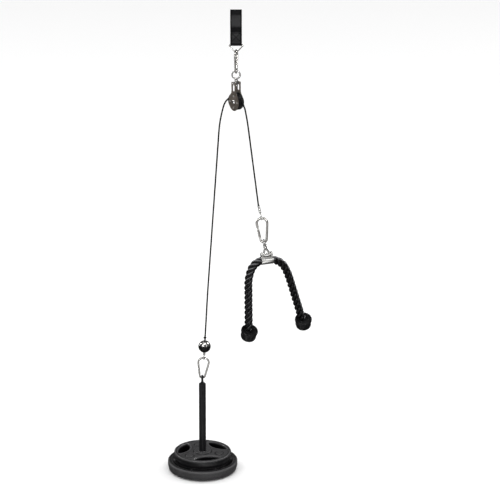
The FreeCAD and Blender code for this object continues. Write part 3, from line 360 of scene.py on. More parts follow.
def tube(path, radius, across, sides=32, closed=False, ease=0.5):
    """Round wire along a planar path, with softened ends when it is open."""
    if closed:
        return grid_data(tube_grid(path, radius, across, sides, True), closed_rows=True)
    radius = np.broadcast_to(np.asarray(radius, float), (len(path),)).copy()
    lengths = np.concatenate([[0], np.cumsum(np.linalg.norm(np.diff(path, axis=0), axis=1))])
    turns = np.linspace(0, math.pi / 2, 5)
    lead = ease * (1 - np.cos(turns))
    keep = lengths[(lengths > ease * 1.01) & (lengths < lengths[-1] - ease * 1.01)]
    along = np.concatenate([lead, keep, (lengths[-1] - lead)[::-1]])
    points = np.stack([np.interp(along, lengths, path[:, k]) for k in range(3)], 1)
    shrink = ease * (1 - np.sin(turns))
    sizes = np.interp(along, lengths, radius)
    sizes[:5] -= shrink
    sizes[-5:] -= shrink[::-1]
    return grid_data(tube_grid(points, sizes, across, sides), caps=True)


def straight(start, end, radius, sides=32, ease=0.4):
    """Rod between two points with softened ends."""
    start, end = np.array(start, float), np.array(end, float)
    path = start + (end - start) * np.linspace(0, 1, 9)[:, None]
    axis = unit(end - start)
    helper = np.array((0, 0, 1.0)) if abs(axis[2]) < 0.9 else np.array((1.0, 0, 0))
    return tube(path, radius, unit(np.cross(axis, helper)), sides, ease=ease)


def sphere_data(centre, radius, sides=32):
    profile = [(radius * math.sin(a), -radius * math.cos(a)) for a in np.linspace(0.02, math.pi - 0.02, sides // 2)]
    verts, faces, uvs = lathe(profile, sides, closed=False)
    last = len(verts) - sides
    faces += [list(range(sides))[::-1], [last + k for k in range(sides)]]
    return verts + np.array(centre), faces, np.concatenate([uvs, np.zeros((2 * sides, 2))])


def outline_slab(outline, holes, thick, bevel, matrix):
    """Plate cut to an (x, z) outline with holes, with rounded edges, centred on its own XZ plane."""
    curve = bpy.data.curves.new("slab", "CURVE")
    curve.dimensions = "2D"
    curve.fill_mode = "BOTH"
    curve.extrude = thick / 2 - bevel
    curve.bevel_depth = bevel
    curve.bevel_resolution = 3
    curve.offset = -bevel
    for loop in [outline] + list(holes):
        spline = curve.splines.new("POLY")
        spline.points.add(len(loop) - 1)
        for point, (x, z) in zip(spline.points, loop):
            point.co = (x, z, 0, 1)
        spline.use_cyclic_u = True
    holder = bpy.data.objects.new("slab", curve)
    bpy.context.scene.collection.objects.link(holder)
    mesh = bpy.data.meshes.new_from_object(holder.evaluated_get(bpy.context.evaluated_depsgraph_get()))
    verts = np.array([tuple(v.co) for v in mesh.vertices])
    faces = [list(p.vertices)[::-1] for p in mesh.polygons]
    bpy.data.objects.remove(holder)
    bpy.data.curves.remove(curve)
    bpy.data.meshes.remove(mesh)
    verts = np.stack([verts[:, 0], -verts[:, 2], verts[:, 1]], 1)
    corners = np.concatenate([verts[f][:, [0, 2]] for f in faces])
    return moved(matrix, verts), faces, corners


def circle_loop(x, z, radius, sides=48):
    angles = np.linspace(0, 2 * math.pi, sides, endpoint=False)
    return np.stack([x + radius * np.cos(angles), z + radius * np.sin(angles)], 1)


def in_place(data, matrix):
    verts, faces, uvs = data
    return moved(matrix, verts), faces, uvs


def modified(piece, kind, **settings):
    """Adds a modifier and applies it."""
    modifier = piece.modifiers.new(kind, kind)
    for key, value in settings.items():
        setattr(modifier, key, value)
    evaluated = piece.evaluated_get(bpy.context.evaluated_depsgraph_get())
    mesh = bpy.data.meshes.new_from_object(evaluated)
    piece.modifiers.clear()
    old = piece.data
    piece.data = mesh
    mesh.name = piece.name
    bpy.data.meshes.remove(old)
    return piece


def forged(name, chunks, voxel, passes=6):
    """Several overlapping solids melted into one smooth casting."""
    piece = mesh_piece(name, *joined(chunks))
    modified(piece, "REMESH", mode="VOXEL", voxel_size=voxel * MM)
    modified(piece, "SMOOTH", factor=0.5, iterations=passes)
    finish_mesh(piece.data, 180.0)
    return piece


def dress(piece, body, slot, finish, *nodes):
    """Gives a piece its material, its body and the CAD nodes it stands for."""
    piece.data.materials.clear()
    piece.data.materials.append(finish)
    if body:
        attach(piece, body)
    if nodes:
        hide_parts(*nodes)
    return piece


# ---------------------------------------------------------------- materials
class Shader:
    """Short calls for building a node tree."""

    def __init__(self, tree):
        self.nodes, self.links = tree.nodes, tree.links

    def node(self, kind, **settings):
        made = self.nodes.new(kind)
        for key, value in settings.items():
            if key.startswith("in_"):
                made.inputs[int(key[3:])].default_value = value
            else:
                setattr(made, key, value)
        return made

    def place(self, source="Object", scale=(1, 1, 1)):
        coords = self.node("ShaderNodeTexCoord")
        mapping = self.node("ShaderNodeMapping")
        mapping.inputs["Scale"].default_value = scale
        self.links.new(coords.outputs[source], mapping.inputs["Vector"])
        return mapping.outputs["Vector"]

    def noise(self, vector, scale, detail=4.0, rough=0.5):
        made = self.node("ShaderNodeTexNoise")
        made.inputs["Scale"].default_value = scale
        made.inputs["Detail"].default_value = detail
        made.inputs["Roughness"].default_value = rough
        self.links.new(vector, made.inputs["Vector"])
        return made.outputs["Fac"]

    def cells(self, vector, scale, feature="F1"):
        made = self.node("ShaderNodeTexVoronoi", feature=feature)
        made.inputs["Scale"].default_value = scale
        self.links.new(vector, made.inputs["Vector"])
        return made.outputs["Distance"]

    def part(self, vector, axis):
        split = self.node("ShaderNodeSeparateXYZ")
        self.links.new(vector, split.inputs[0])
        return split.outputs[axis]

    def math(self, operation, first, second=None, third=None):
        made = self.node("ShaderNodeMath", operation=operation)
        for socket, value in zip(made.inputs, (first, second, third)):
            if value is None:
                continue
            if isinstance(value, (int, float)):
                socket.default_value = value
            else:
                self.links.new(value, socket)
        return made.outputs[0]

    def ramp(self, value, low, high, out_low=0.0, out_high=1.0):
        made = self.node("ShaderNodeMapRange")
        for socket, number in zip(made.inputs[1:5], (low, high, out_low, out_high)):
            socket.default_value = number
        self.links.new(value, made.inputs[0])
        return made.outputs[0]

    def wave_of(self, value, periods):
        """Cosine from 0 to 1 of a value times a number of periods."""
        turned = self.math("MULTIPLY", value, periods * 2 * math.pi)
        return self.math("MULTIPLY_ADD", self.math("COSINE", turned), 0.5, 0.5)

    def window(self, value, low, high, soft):
        """1 while a value is between low and high, with soft edges."""
        rise = self.ramp(value, low - soft, low + soft)
        fall = self.ramp(value, high - soft, high + soft, 1.0, 0.0)
        return self.math("MULTIPLY", rise, fall)


class Finish(Shader):
    """A Principled material and short calls for what feeds it."""

    def __init__(self, name, colour, roughness, metallic=0.0):
        self.material = bpy.data.materials.new(name)
        self.material.use_nodes = True
        super().__init__(self.material.node_tree)
        self.surface = self.nodes["Principled BSDF"]
        self.surface.inputs["Base Color"].default_value = (*colour, 1)
        self.surface.inputs["Roughness"].default_value = roughness
        self.surface.inputs["Metallic"].default_value = metallic
        self.surface.inputs["Specular IOR Level"].default_value = 0.5 if metallic else 0.2
        self.material.diffuse_color = (*colour, 1)
        self.last_bump = None

    def colour_mix(self, factor, dark, light):
        made = self.node("ShaderNodeMix", data_type="RGBA")
        made.inputs[6].default_value = (*dark, 1)
        made.inputs[7].default_value = (*light, 1)
        self.links.new(factor, made.inputs[0])
        self.links.new(made.outputs[2], self.surface.inputs["Base Color"])
        return made

    def rough(self, value):
        self.links.new(value, self.surface.inputs["Roughness"])

    def bump(self, height, distance, strength=1.0):
        made = self.node("ShaderNodeBump")
        made.inputs["Strength"].default_value = strength
        made.inputs["Distance"].default_value = distance
        self.links.new(height, made.inputs["Height"])
        if self.last_bump is not None:
            self.links.new(self.last_bump, made.inputs["Normal"])
        self.links.new(made.outputs["Normal"], self.surface.inputs["Normal"])
        self.last_bump = made.outputs["Normal"]

    def edge_glint_and_wear(self, low=0.5, high=0.62):
        """Painted glint and edge wear: brighter where edges stand out."""
        geometry = self.node("ShaderNodeNewGeometry")
        return self.ramp(geometry.outputs["Pointiness"], low, high)


def plated_wire():
    """Bright nickel plate with polishing marks and faint clouding."""
    made = Finish("nickel_plate", (0.78, 0.77, 0.75), 0.16, 1.0)
    vector = made.place()
    cloud = made.noise(vector, 90.0, 5.0)
    made.colour_mix(made.ramp(cloud, 0.35, 0.7), (0.50, 0.48, 0.45), (0.84, 0.83, 0.81))
    fine = made.noise(made.place(scale=(1, 1, 5)), 900.0, 3.0)
    made.rough(made.ramp(cloud, 0.3, 0.75, 0.10, 0.30))
    made.bump(fine, 0.02 * MM, 0.35)
    made.bump(cloud, 0.25 * MM, 0.25)
    return made.material


def polished_steel():
    made = Finish("polished_steel", (0.8, 0.8, 0.79), 0.12, 1.0)
    vector = made.place()
    smear = made.noise(vector, 160.0, 4.0)
    made.colour_mix(made.ramp(smear, 0.35, 0.7), (0.58, 0.57, 0.55), (0.84, 0.84, 0.83))
    made.rough(made.ramp(smear, 0.3, 0.7, 0.08, 0.24))
    made.bump(made.noise(vector, 1500.0, 2.0), 0.01 * MM, 0.3)
    return made.material


def cheek_round_holes():
    """(x, z, radius) in the cheek's plane of its hub, its upper rivet and its four small holes."""
    side, rise, small = CHEEK["hole_side"], CHEEK["hole_rise"], CHEEK["hole"]
    return [(0, 0, 5.0), (0, 78.5, 3.9), (side, 0, small), (-side, 0, small), (0, rise, small), (0, -rise, small)]


def brushed_stainless():
    """Stainless sheet with a fine vertical grain and a warm cast, with painted highlights on its edges and round its
    holes.
    """
    made = Finish("brushed_stainless", (0.22, 0.19, 0.165), 0.4, 0.7)
    grain = made.noise(made.place(scale=(26, 26, 1)), 60.0, 6.0, 0.65)
    cloud = made.noise(made.place(), 55.0, 4.0)
    mixed = made.math("MULTIPLY_ADD", grain, 0.55, made.math("MULTIPLY", cloud, 0.45))
    made.colour_mix(made.ramp(mixed, 0.38, 0.62), (0.10, 0.085, 0.072), (0.30, 0.26, 0.225))
    # painted highlight: the edges and a ring round each hole are painted near white
    painted_edge_highlight = made.edge_glint_and_wear(0.51, 0.56)
    for x, z, radius in cheek_round_holes():
        for side in (-15.0, 15.0):
            far = made.node("ShaderNodeVectorMath", operation="DISTANCE")
            far.inputs[1].default_value = moved(BLOCK, (x, side, z)) * MM
            made.links.new(made.place(), far.inputs[0])
            rim = made.ramp(far.outputs["Value"], (radius + 0.8) * MM, (radius + 2.2) * MM, 0.8, 0.0)
            painted_edge_highlight = made.math("MAXIMUM", painted_edge_highlight, rim)
    brighter = made.node("ShaderNodeMix", data_type="RGBA")
    brighter.inputs[7].default_value = (0.80, 0.78, 0.75, 1)
    made.links.new(painted_edge_highlight, brighter.inputs[0])
    made.links.new(made.surface.inputs["Base Color"].links[0].from_socket, brighter.inputs[6])
    made.links.new(brighter.outputs[2], made.surface.inputs["Base Color"])
    made.rough(made.ramp(mixed, 0.3, 0.7, 0.26, 0.46))
    made.bump(grain, 0.05 * MM, 0.5)
    return made.material


def bearing_steel():
    made = Finish("ground_steel", (0.66, 0.66, 0.67), 0.22, 1.0)
    ground = made.noise(made.place(), 420.0, 4.0)
    made.colour_mix(made.ramp(ground, 0.3, 0.7), (0.5, 0.5, 0.51), (0.74, 0.74, 0.75))
    made.rough(made.ramp(ground, 0.3, 0.7, 0.16, 0.34))
    made.bump(ground, 0.02 * MM, 0.4)
    return made.material


def twisted_wire():
    """Bare wire strand: bright wires laid in a helix."""
    made = Finish("bare_wire", (0.7, 0.69, 0.67), 0.24, 1.0)
    uv = made.place("UV")
    lay = made.math("ADD", made.math("MULTIPLY", made.part(uv, 0), 1 / (14 * MM)), made.part(uv, 1))
    wires = made.wave_of(lay, 7.0)
    # painted shade: the valleys between the wires are painted darker
    made.colour_mix(wires, (0.22, 0.21, 0.20), (0.82, 0.82, 0.80))
    made.rough(made.ramp(wires, 0.0, 1.0, 0.4, 0.16))
    made.bump(wires, 0.35 * MM, 0.8)
    return made.material


def sewn_lines(made):
    """1 along the box and the cross that are sewn through the tab, seen from the front only."""
    spot = made.place()
    across = made.math("DIVIDE", made.math("ABSOLUTE", made.part(spot, 0)), STITCH_HALF * MM)
    half = (TAB_LENGTH / 2 - 5.0) * MM
    middle = (TAB_TOP - TAB_LENGTH / 2) * MM
    along = made.math("DIVIDE", made.math("ABSOLUTE", made.math("SUBTRACT", made.part(spot, 2), middle)), half)
    cross = made.ramp(made.math("ABSOLUTE", made.math("SUBTRACT", across, along)), 0.07, 0.15, 1.0, 0.0)
    farther = made.math("MAXIMUM", across, along)
    box = made.window(farther, 0.96, 1.04, 0.04)
    within = made.ramp(farther, 1.04, 1.10, 1.0, 0.0)
    front = made.ramp(made.part(spot, 1), -5.0 * MM, 0.0, 1.0, 0.0)
    return made.math("MULTIPLY", made.math("MULTIPLY", made.math("MAXIMUM", cross, box), within), front)


def crease_light(made):
    """Painted satin light down the strap, with painted shade over the bar, under the first crease and at the ring."""
    spot = made.place()
    wander = made.math("MULTIPLY", made.math("SUBTRACT", made.noise(spot, 45.0, 3.0), 0.5), 16 * MM)
    height = made.math("ADD", made.part(spot, 2), wander)
    light = 1.0
    for low, high, shade_strength in ((-78.0, -54.0, 0.75), (-150.0, -124.0, 0.7), (-2.0, 20.0, 0.75), (-116.0, -110.0, 0.4)):
        band_part = made.math("MULTIPLY", made.window(height, low * MM, high * MM, 4 * MM), shade_strength)
        light = made.math("MULTIPLY", light, made.math("SUBTRACT", 1.0, band_part))
    return light


def webbing_nylon():
    """Woven webbing: ribs across, warp lines along, darker along both edges than across the middle, with painted shade
    along the sewn seams and painted satin light and shade down the strap.
    """
    made = Finish("webbing_nylon", (0.02, 0.02, 0.022), 0.5)
    uv = made.place("UV")
    warp = made.wave_of(made.part(uv, 1), 62.0)
    weft = made.wave_of(made.math("ADD", made.part(uv, 0), made.math("MULTIPLY", warp, 0.35 * MM)), 1 / (1.3 * MM))
    weave = made.math("MULTIPLY", made.math("MULTIPLY_ADD", warp, 0.5, 0.5), made.math("MULTIPLY_ADD", weft, 0.7, 0.3))
    fuzz = made.noise(made.place(), 900.0, 3.0)
    across = made.math("ABSOLUTE", made.part(made.place(), 0))
    centre = made.ramp(across, 17.5 * MM, 19.5 * MM, 1.0, 0.08)
    # painted shade along the sewn seams and the painted light bands of crease_light lower the colour and the gloss
    weave_and_painted_light = made.math("MULTIPLY", centre, made.math("SUBTRACT", 1.0, sewn_lines(made)))
    weave_and_painted_light = made.math("MULTIPLY", weave_and_painted_light, crease_light(made))
    mixed = made.math("MULTIPLY", made.math("MULTIPLY_ADD", weave, 0.8, made.math("MULTIPLY", fuzz, 0.3)), weave_and_painted_light)
    made.colour_mix(mixed, (0.0012, 0.0012, 0.0015), (0.0165, 0.0165, 0.0185))
    made.rough(made.ramp(mixed, 0.0, 1.0, 0.60, 0.36))
    made.links.new(made.ramp(weave_and_painted_light, 0.0, 1.0, 0.02, 0.45), made.surface.inputs["Specular IOR Level"])
    made.bump(weave, 0.22 * MM, 0.6)
    made.bump(fuzz, 0.08 * MM, 0.3)
    return made.material


def sewing_thread():
    made = Finish("sewing_thread", (0.05, 0.05, 0.055), 0.4)
    uv = made.place("UV")
    lay = made.wave_of(made.math("ADD", made.math("MULTIPLY", made.part(uv, 0), 900.0), made.part(uv, 1)), 3.0)
    made.colour_mix(lay, (0.001, 0.001, 0.001), (0.006, 0.006, 0.006))
    made.bump(lay, 0.08 * MM, 0.8)
    return made.material


def coated_cable():
    """Black nylon coat over a wire core, with the strands faintly showing through."""
    made = Finish("coated_cable", (0.018, 0.018, 0.019), 0.3)
    uv = made.place("UV")
    lay = made.math("ADD", made.math("MULTIPLY", made.part(uv, 0), 1 / (42 * MM)), made.part(uv, 1))
    strands = made.wave_of(lay, 6.0)
    mottled_tone = made.noise(made.place(), 320.0, 4.0)
    made.colour_mix(made.ramp(mottled_tone, 0.4, 0.75), (0.002, 0.002, 0.0025), (0.008, 0.008, 0.0085))
    made.rough(made.ramp(mottled_tone, 0.3, 0.75, 0.38, 0.55))
    made.surface.inputs["Specular IOR Level"].default_value = 0.15
    made.bump(strands, 0.10 * MM, 0.5)
    made.bump(mottled_tone, 0.05 * MM, 0.3)
    return made.material


def rope_fibre():
    """Twisted nylon yarn: fibres along each strand, with a satin gloss and a painted highlight on each strand's
    upward-facing flank.
    """
    made = Finish("rope_fibre", (0.01, 0.01, 0.011), 0.34)
    made.surface.inputs["Specular IOR Level"].default_value = 0.2
    uv = made.place("UV")
    lay = made.math("SUBTRACT", made.part(uv, 1), made.math("MULTIPLY", made.part(uv, 0), 1 / (52 * MM)))
    yarns = made.wave_of(lay, 16.0)
    hair = made.noise(made.place("UV", (900, 30, 1)), 1.0, 4.0, 0.6)
    mixed = made.math("MULTIPLY_ADD", yarns, 0.6, made.math("MULTIPLY", hair, 0.5))
    shade = made.colour_mix(made.ramp(mixed, 0.2, 1.0), (0.0006, 0.0006, 0.0008), (0.0032, 0.0032, 0.0036))
    # painted highlight: where a strand's surface faces up, its colour is painted paler
    normal = made.node("ShaderNodeNewGeometry").outputs["Normal"]
    painted_flank_highlight = made.node("ShaderNodeMix", data_type="RGBA")
    painted_flank_highlight.inputs[7].default_value = (0.13, 0.13, 0.135, 1)
    made.links.new(made.ramp(made.part(normal, 2), 0.55, 0.65), painted_flank_highlight.inputs[0])
    made.links.new(shade.outputs[2], painted_flank_highlight.inputs[6])
    made.links.new(painted_flank_highlight.outputs[2], made.surface.inputs["Base Color"])
    made.rough(made.ramp(hair, 0.3, 0.7, 0.18, 0.30))
    made.bump(yarns, 0.20 * MM, 0.3)
    made.bump(hair, 0.08 * MM, 0.2)
    return made.material


def moulded_black(name, grain, colour=(0.010, 0.010, 0.011), rough=0.42, depth=0.08):
    """Moulded rubber or nylon: fine grain, soft gloss changes and edges painted paler as glints."""
    made = Finish(name, colour, rough)
    vector = made.place()
    cloud = made.noise(vector, 40.0, 5.0)
    pores = made.noise(vector, grain, 4.0, 0.6)
    light = tuple(channel * 6 for channel in colour)
    # painted glint: edges are painted paler; the cloud adds random tone
    tone = made.math("ADD", made.ramp(cloud, 0.35, 0.75, 0.0, 0.25), made.edge_glint_and_wear(0.505, 0.56))
    made.colour_mix(tone, colour, light)
    made.rough(made.ramp(cloud, 0.3, 0.75, rough - 0.08, rough + 0.12))
    made.bump(pores, depth * MM, 0.5)
    return made.material


def hammered_plate(name, side_painted_light, top_painted_light):
    """Rubber-coated plate: pebbled, with painted light by which way it faces (its share on the sides and on top,
    mottled), painted highlights on its lips and painted shade in its hollows.
    """
    made = Finish(name, (0.035, 0.035, 0.038), 0.45)
    vector = made.place()
    pebbles = made.cells(vector, 300.0)
    coarse = made.noise(vector, 150.0, 5.0, 0.6)
    cloud = made.noise(vector, 14.0, 4.0)
    geometry = made.node("ShaderNodeNewGeometry")
    # painted light: tops and sides each take a painted share of light by which way they face
    facing = made.ramp(made.part(geometry.outputs["Normal"], 2), 0.60, 0.99, side_painted_light, top_painted_light)
    mottled_tone = made.math("MULTIPLY", facing, made.ramp(coarse, 0.3, 0.65, 0.45, 1.0))
    tone = made.math("ADD", made.math("MULTIPLY", mottled_tone, made.ramp(cloud, 0.3, 0.7, 0.6, 0.9)), made.edge_glint_and_wear(0.505, 0.57))
    # painted shade in sunk lines and the rim groove below 0, painted highlight on lips, ribs and badge rims above 0
    painted_shade_highlight = made.node("ShaderNodeAttribute", attribute_name="painted_shade_highlight").outputs["Fac"]
    tone = made.math("MULTIPLY", tone, made.ramp(painted_shade_highlight, -0.55, 0.0))
    tone = made.math("ADD", tone, made.ramp(painted_shade_highlight, 0.0, 1.0, 0.0, 1.8))
    made.colour_mix(tone, (0.0035, 0.0035, 0.004), (0.058, 0.057, 0.059))
    made.surface.inputs["Specular IOR Level"].default_value = 0.45
    made.rough(made.math("SUBTRACT", made.ramp(mottled_tone, 0.0, 1.0, 0.28, 0.55), made.ramp(painted_shade_highlight, 0.0, 1.0, 0.0, 0.2)))
    made.bump(pebbles, 0.55 * MM, 0.5)
    made.bump(coarse, 0.35 * MM, 0.5)
    return made.material


def powder_coat():
    """Semi-gloss black paint with orange peel, scuffs, and edges painted paler as wear and glint."""
    made = Finish("powder_coat", (0.02, 0.02, 0.023), 0.3)
    vector = made.place()
    peel = made.noise(vector, 380.0, 3.0, 0.5)
    scuff = made.noise(made.place(scale=(1, 1, 0.15)), 120.0, 5.0, 0.7)
    # edges painted paler, as wear and glint
    tone = made.math("ADD", made.ramp(scuff, 0.55, 0.8, 0.0, 0.7), made.edge_glint_and_wear(0.54, 0.64))
    made.colour_mix(tone, (0.008, 0.008, 0.009), (0.04, 0.04, 0.043))
    made.rough(made.ramp(scuff, 0.35, 0.75, 0.24, 0.48))
    made.bump(peel, 0.12 * MM, 0.5)
    return made.material


FINISHES = {
    "webbing": webbing_nylon(),
    "thread": sewing_thread(),
    "chrome_wire": plated_wire(),
    "spring_steel": bearing_steel(),
    "stainless": brushed_stainless(),
    "bright_steel": polished_steel(),
    "bearing_steel": bearing_steel(),
    "wheel_nylon": moulded_black("wheel_nylon", 700.0, (0.0018, 0.0018, 0.002), 0.34, 0.04),
    "cable_coat": coated_cable(),
    "stop_rubber": moulded_black("stop_rubber", 600.0, (0.0020, 0.0020, 0.0022), 0.28, 0.05),
    "bare_wire": twisted_wire(),
    "pin_paint": powder_coat(),
    # lit and shaded copies of one finish: the upper plate's top is painted lit and its side dark; the lower plate's top
    # is painted shaded under the upper plate and its side paler
    "plate_rubber": hammered_plate("hammered_plate", 0.0, 1.0),
    "plate_rubber_shaded_low": hammered_plate("hammered_plate_shaded_low", 0.9, 0.25),
    "rope_nylon": rope_fibre(),
}


def paint_cad_nodes():
    """Every CAD node that stays takes its slot's finish."""
    slots = {row["node"]: row["material_slot"] for row in frame["record"]["subparts"]}
    for name, piece in frame["nodes"].items():
        piece.data.materials.clear()
        piece.data.materials.append(FINISHES[slots[name]])


paint_cad_nodes()


# ---------------------------------------------------------------- strap and ring
def band_section(half_width, thick, count=28):
    """Outline of a woven band's cross-section: (across, outwards), with rounded, slightly full edges."""
    edge = thick / 2
    flat_half = half_width - edge
    across = np.linspace(-flat_half, flat_half, count)
    full = 0.12 * np.clip((np.abs(across) - flat_half + 3.0) / 3.0, 0, 1)
    top = np.stack([across, edge + full], 1)
    turn = np.linspace(math.pi / 2, -math.pi / 2, 7)[1:-1]
    right = np.stack([flat_half + edge * np.cos(turn), (edge + 0.12) * np.sin(turn)], 1)
    return np.concatenate([top, right, top[::-1] * (1, -1), right[::-1] * (-1, 1)])


def band(path, half_width, thick, closed, pitch=2.6, relief=0.10):
    """Webbing along a path of (y, z) points; its outward side is on the path's right."""
    points = np.stack([np.zeros(len(path)), path[:, 0], path[:, 1]], 1)
    along = tangents(points, closed)
    out = np.cross(along, (1.0, 0, 0))
    lengths = np.concatenate([[0], np.cumsum(np.linalg.norm(np.diff(points, axis=0), axis=1))])
    section = band_section(half_width, thick)
    ribs = 1 + relief * np.cos(2 * math.pi * lengths / pitch)[:, None] * np.where(np.abs(section[:, 0]) < half_width - 3, 1, 0.4)
    grid = points[:, None] + section[None, :, :1] * np.array((1.0, 0, 0))
    grid = grid + out[:, None] * (section[None, :, 1] * ribs)[:, :, None]
    return grid_data(grid, closed_rows=closed, caps=not closed)


def strap_circles(grow):
    return [(0.0, 0.0, BAR_LOOP_RADIUS + grow), (0.0, -STRAP_DROP, RING_WIRE + HANG_GAP + grow)]


def strap_path(grow):
    return resampled(hull_path(strap_circles(grow)), 0.65, closed=True)


def tab_place():
    """Frame on the strap's front face: X across the strap, -Y outwards, Z up the ply."""
    (_, _, top), (_, _, fold) = strap_circles(STRAP_THICK)
    slope = math.asin((top - fold) / STRAP_DROP)
    on_face = -top / math.cos(slope) - TAB_TOP * math.tan(slope)
    return place((0, on_face, TAB_TOP), (1, 0, 0), (0, -math.sin(slope), math.cos(slope)))


BILLOW = ((-133.5, 0.0), (-127.0, 0.4), (-120.0, 1.8), (-114.0, 0.6), (-98.0, 1.4), (-84.0, 0.5), (-77.0, 0.0),
          (-64.0, 1.2), (-49.0, 3.4), (-32.0, 1.8), (-14.0, 0.0))


def billowed(data):
    """The front ply stands out a little in soft waves, and what is sewn to it goes with it."""
    verts, faces, uvs = data
    heights, lifts = np.array(BILLOW).T
    smooth = np.convolve(np.interp(np.arange(-150, 20), heights, lifts), np.hanning(11) / np.hanning(11).sum(), "same")
    verts[:, 1] -= np.where(verts[:, 1] < 0, np.interp(verts[:, 2], np.arange(-150, 20), smooth), 0)
    return verts, faces, uvs


def stitch_chunks(start, end, surface):
    """Single stitches from start to end, (x, z) on the face at y = surface, each pulled into the weave at its ends."""
    start, end = np.array(start), np.array(end)
    run = np.linalg.norm(end - start)
    count = int(run / STITCH_PITCH)
    heading = (end - start) / run
    lift = np.array((-0.25, 0.35, 0.5, 0.35, -0.25))
    chunks = []
    for index in range(count):
        middle = start + heading * (index + 0.5) * run / count
        along = np.linspace(-0.5, 0.5, 5) * STITCH_LENGTH
        xz = middle + heading * along[:, None]
        path = np.stack([xz[:, 0], surface - lift, xz[:, 1]], 1)
        chunks.append(tube(path, 0.62, np.array((-heading[1], 0, heading[0])), 8, ease=0.2))
    return chunks


def strap_stitches():
    half, top, bottom = STITCH_HALF, -5.0, 5.0 - TAB_LENGTH
    corners = [(-half, top), (half, top), (half, bottom), (-half, bottom)]
    chunks = []
    for first, second in ((0, 1), (1, 2), (2, 3), (3, 0), (0, 2), (1, 3)):
        chunks += stitch_chunks(corners[first], corners[second], -STRAP_THICK)
    return billowed(in_place(joined(chunks), tab_place()))


def build_strap():
    loop = mesh_piece("strap_loop", *billowed(band(strap_path(STRAP_THICK / 2), STRAP_WIDTH / 2, STRAP_THICK, True)), sharp=60)
    dress(loop, "hanger", "webbing", FINISHES["webbing"], "strap_webbing")
    fall = np.linspace(0, -TAB_LENGTH, 80)
    ply = band(np.stack([np.full(80, -STRAP_THICK / 2), fall], 1), STRAP_WIDTH / 2 - 0.3, STRAP_THICK, False)
    tab = mesh_piece("strap_ply", *billowed(in_place(ply, tab_place())), sharp=60)
    dress(tab, "hanger", "webbing", FINISHES["webbing"], "strap_tab")
    sewn = mesh_piece("strap_stitches", *strap_stitches(), sharp=60)
    dress(sewn, "hanger", "thread", FINISHES["thread"], "strap_stitching")


def build_ring():
    corner = -STRAP_DROP - RING_CORNER
    circles = [(RING_HALF_BAR, corner, RING_CORNER), (-RING_HALF_BAR, corner, RING_CORNER),
               (0.0, -RING_DROP + RING_TIP, RING_TIP)]
    path = softened(resampled(hull_path(circles), 0.8, closed=True), 4, closed=True)
    ring = mesh_piece("ring_wire", *tube(standing(path), RING_WIRE, np.array((0, 1.0, 0)), 28, closed=True))
    dress(ring, "delta_ring", "chrome_wire", FINISHES["chrome_wire"], "delta_ring")


# ---------------------------------------------------------------- snap hooks
def hook_marks(hook):
    """Ends of the straight gate side, its direction, the pivot and the nose, in (x, z)."""
    wide, narrow, reach = hook["wide"], hook["narrow"], hook["reach"]
    tilt = math.asin((wide - narrow) / reach)
    outward = np.array((-math.cos(tilt), -math.sin(tilt)))
    low = np.array((0, -wide - reach)) + outward * narrow
    high = np.array((0, -wide)) + outward * wide
    along = unit(high - low)
    return low, high, along, low + along * (hook["wire"] + 0.4), high + (low - high) * NOSE_PART


def tongue(start, end, half_width, thick, y=0.0):
    """Flat bar with round ends between two (x, z) points, standing in the hook's plane."""
    outline = hull_path([(*start, half_width), (*end, half_width)])
    return outline_slab(outline, [], thick, min(0.35, thick / 4), shifted(WORLD, y=y))


def hook_wire_path(hook):
    low, high, along, pivot, nose = hook_marks(hook)
    wide = (0.0, -hook["wide"], hook["wide"])
    narrow = (0.0, -hook["wide"] - hook["reach"], hook["narrow"])
    right, left = hull_angles([narrow, wide])
    path = np.concatenate([arc(narrow[:2], narrow[2], left, right), arc(wide[:2], wide[2], right, left), [nose]])
    return softened(resampled(path, 0.8), 30)


def hook_body(hook):
    wire = hook["wire"]
    low, high, along, pivot, nose = hook_marks(hook)
    chunks = [tube(standing(hook_wire_path(hook)), wire, np.array((0, 1.0, 0)), 32, ease=0.8)]
    chunks.append(tongue(low, pivot, wire * 0.7, 3.0))
    chunks.append(tongue(nose + along, nose - along * wire * 0.75, wire * 0.42, 3.0))
    chunks.append(tongue(nose - along * wire * 0.8 - (0.6, 0), nose - along * wire * 0.8 + (0.6, 0), wire * 0.5, 3.0))
    return joined(chunks)


def hook_gate(hook):
    """Round gate with a fork at each end that closes over the body's tongues."""
    wire = hook["wire"]
    low, high, along, pivot, nose = hook_marks(hook)
    first, last = pivot + along * (wire + 0.2), nose - along * (wire + 0.8)
    lift = np.array((along[0], 0, along[1]))
    chunks = [straight((first[0], 0, first[1]), (last[0], 0, last[1]), wire, 32, 0.6)]
    prong = wire * 0.9 - 1.6
    for side in (-1, 1):
        y = side * (1.6 + prong / 2)
        chunks.append(tongue(pivot, first + along * 2, wire * 0.82, prong, y))
        chunks.append(tongue(last - along * 2, nose - along * (wire * 0.75 + 0.5), wire * 0.72, prong, y))
    for share in (0.3, 0.7):
        ring = first + (last - first) * share
        centre = np.array((ring[0], 0, ring[1]))
        chunks.append(in_place(lathe(eased([(wire - 0.3, -0.5), (wire + 0.18, -0.3), (wire + 0.18, 0.3), (wire - 0.3, 0.5)], 0.1), 32),
                               place(centre, (0, 1, 0), lift)))
    return joined(chunks)


def rivet(hook):
    """Pin with a small domed head at each end."""
    _, _, _, pivot, _ = hook_marks(hook)
    half = hook["wire"] * 0.95
    profile = [(0.02, -half - 0.5), (1.2, -half - 0.35), (1.9, -half + 0.1), (1.5, -half + 0.3),
               (1.5, half - 0.3), (1.9, half - 0.1), (1.2, half + 0.35), (0.02, half + 0.5)]
    return in_place(lathe(profile, 24), place((pivot[0], 0, pivot[1]), (1, 0, 0), (0, 1, 0)))


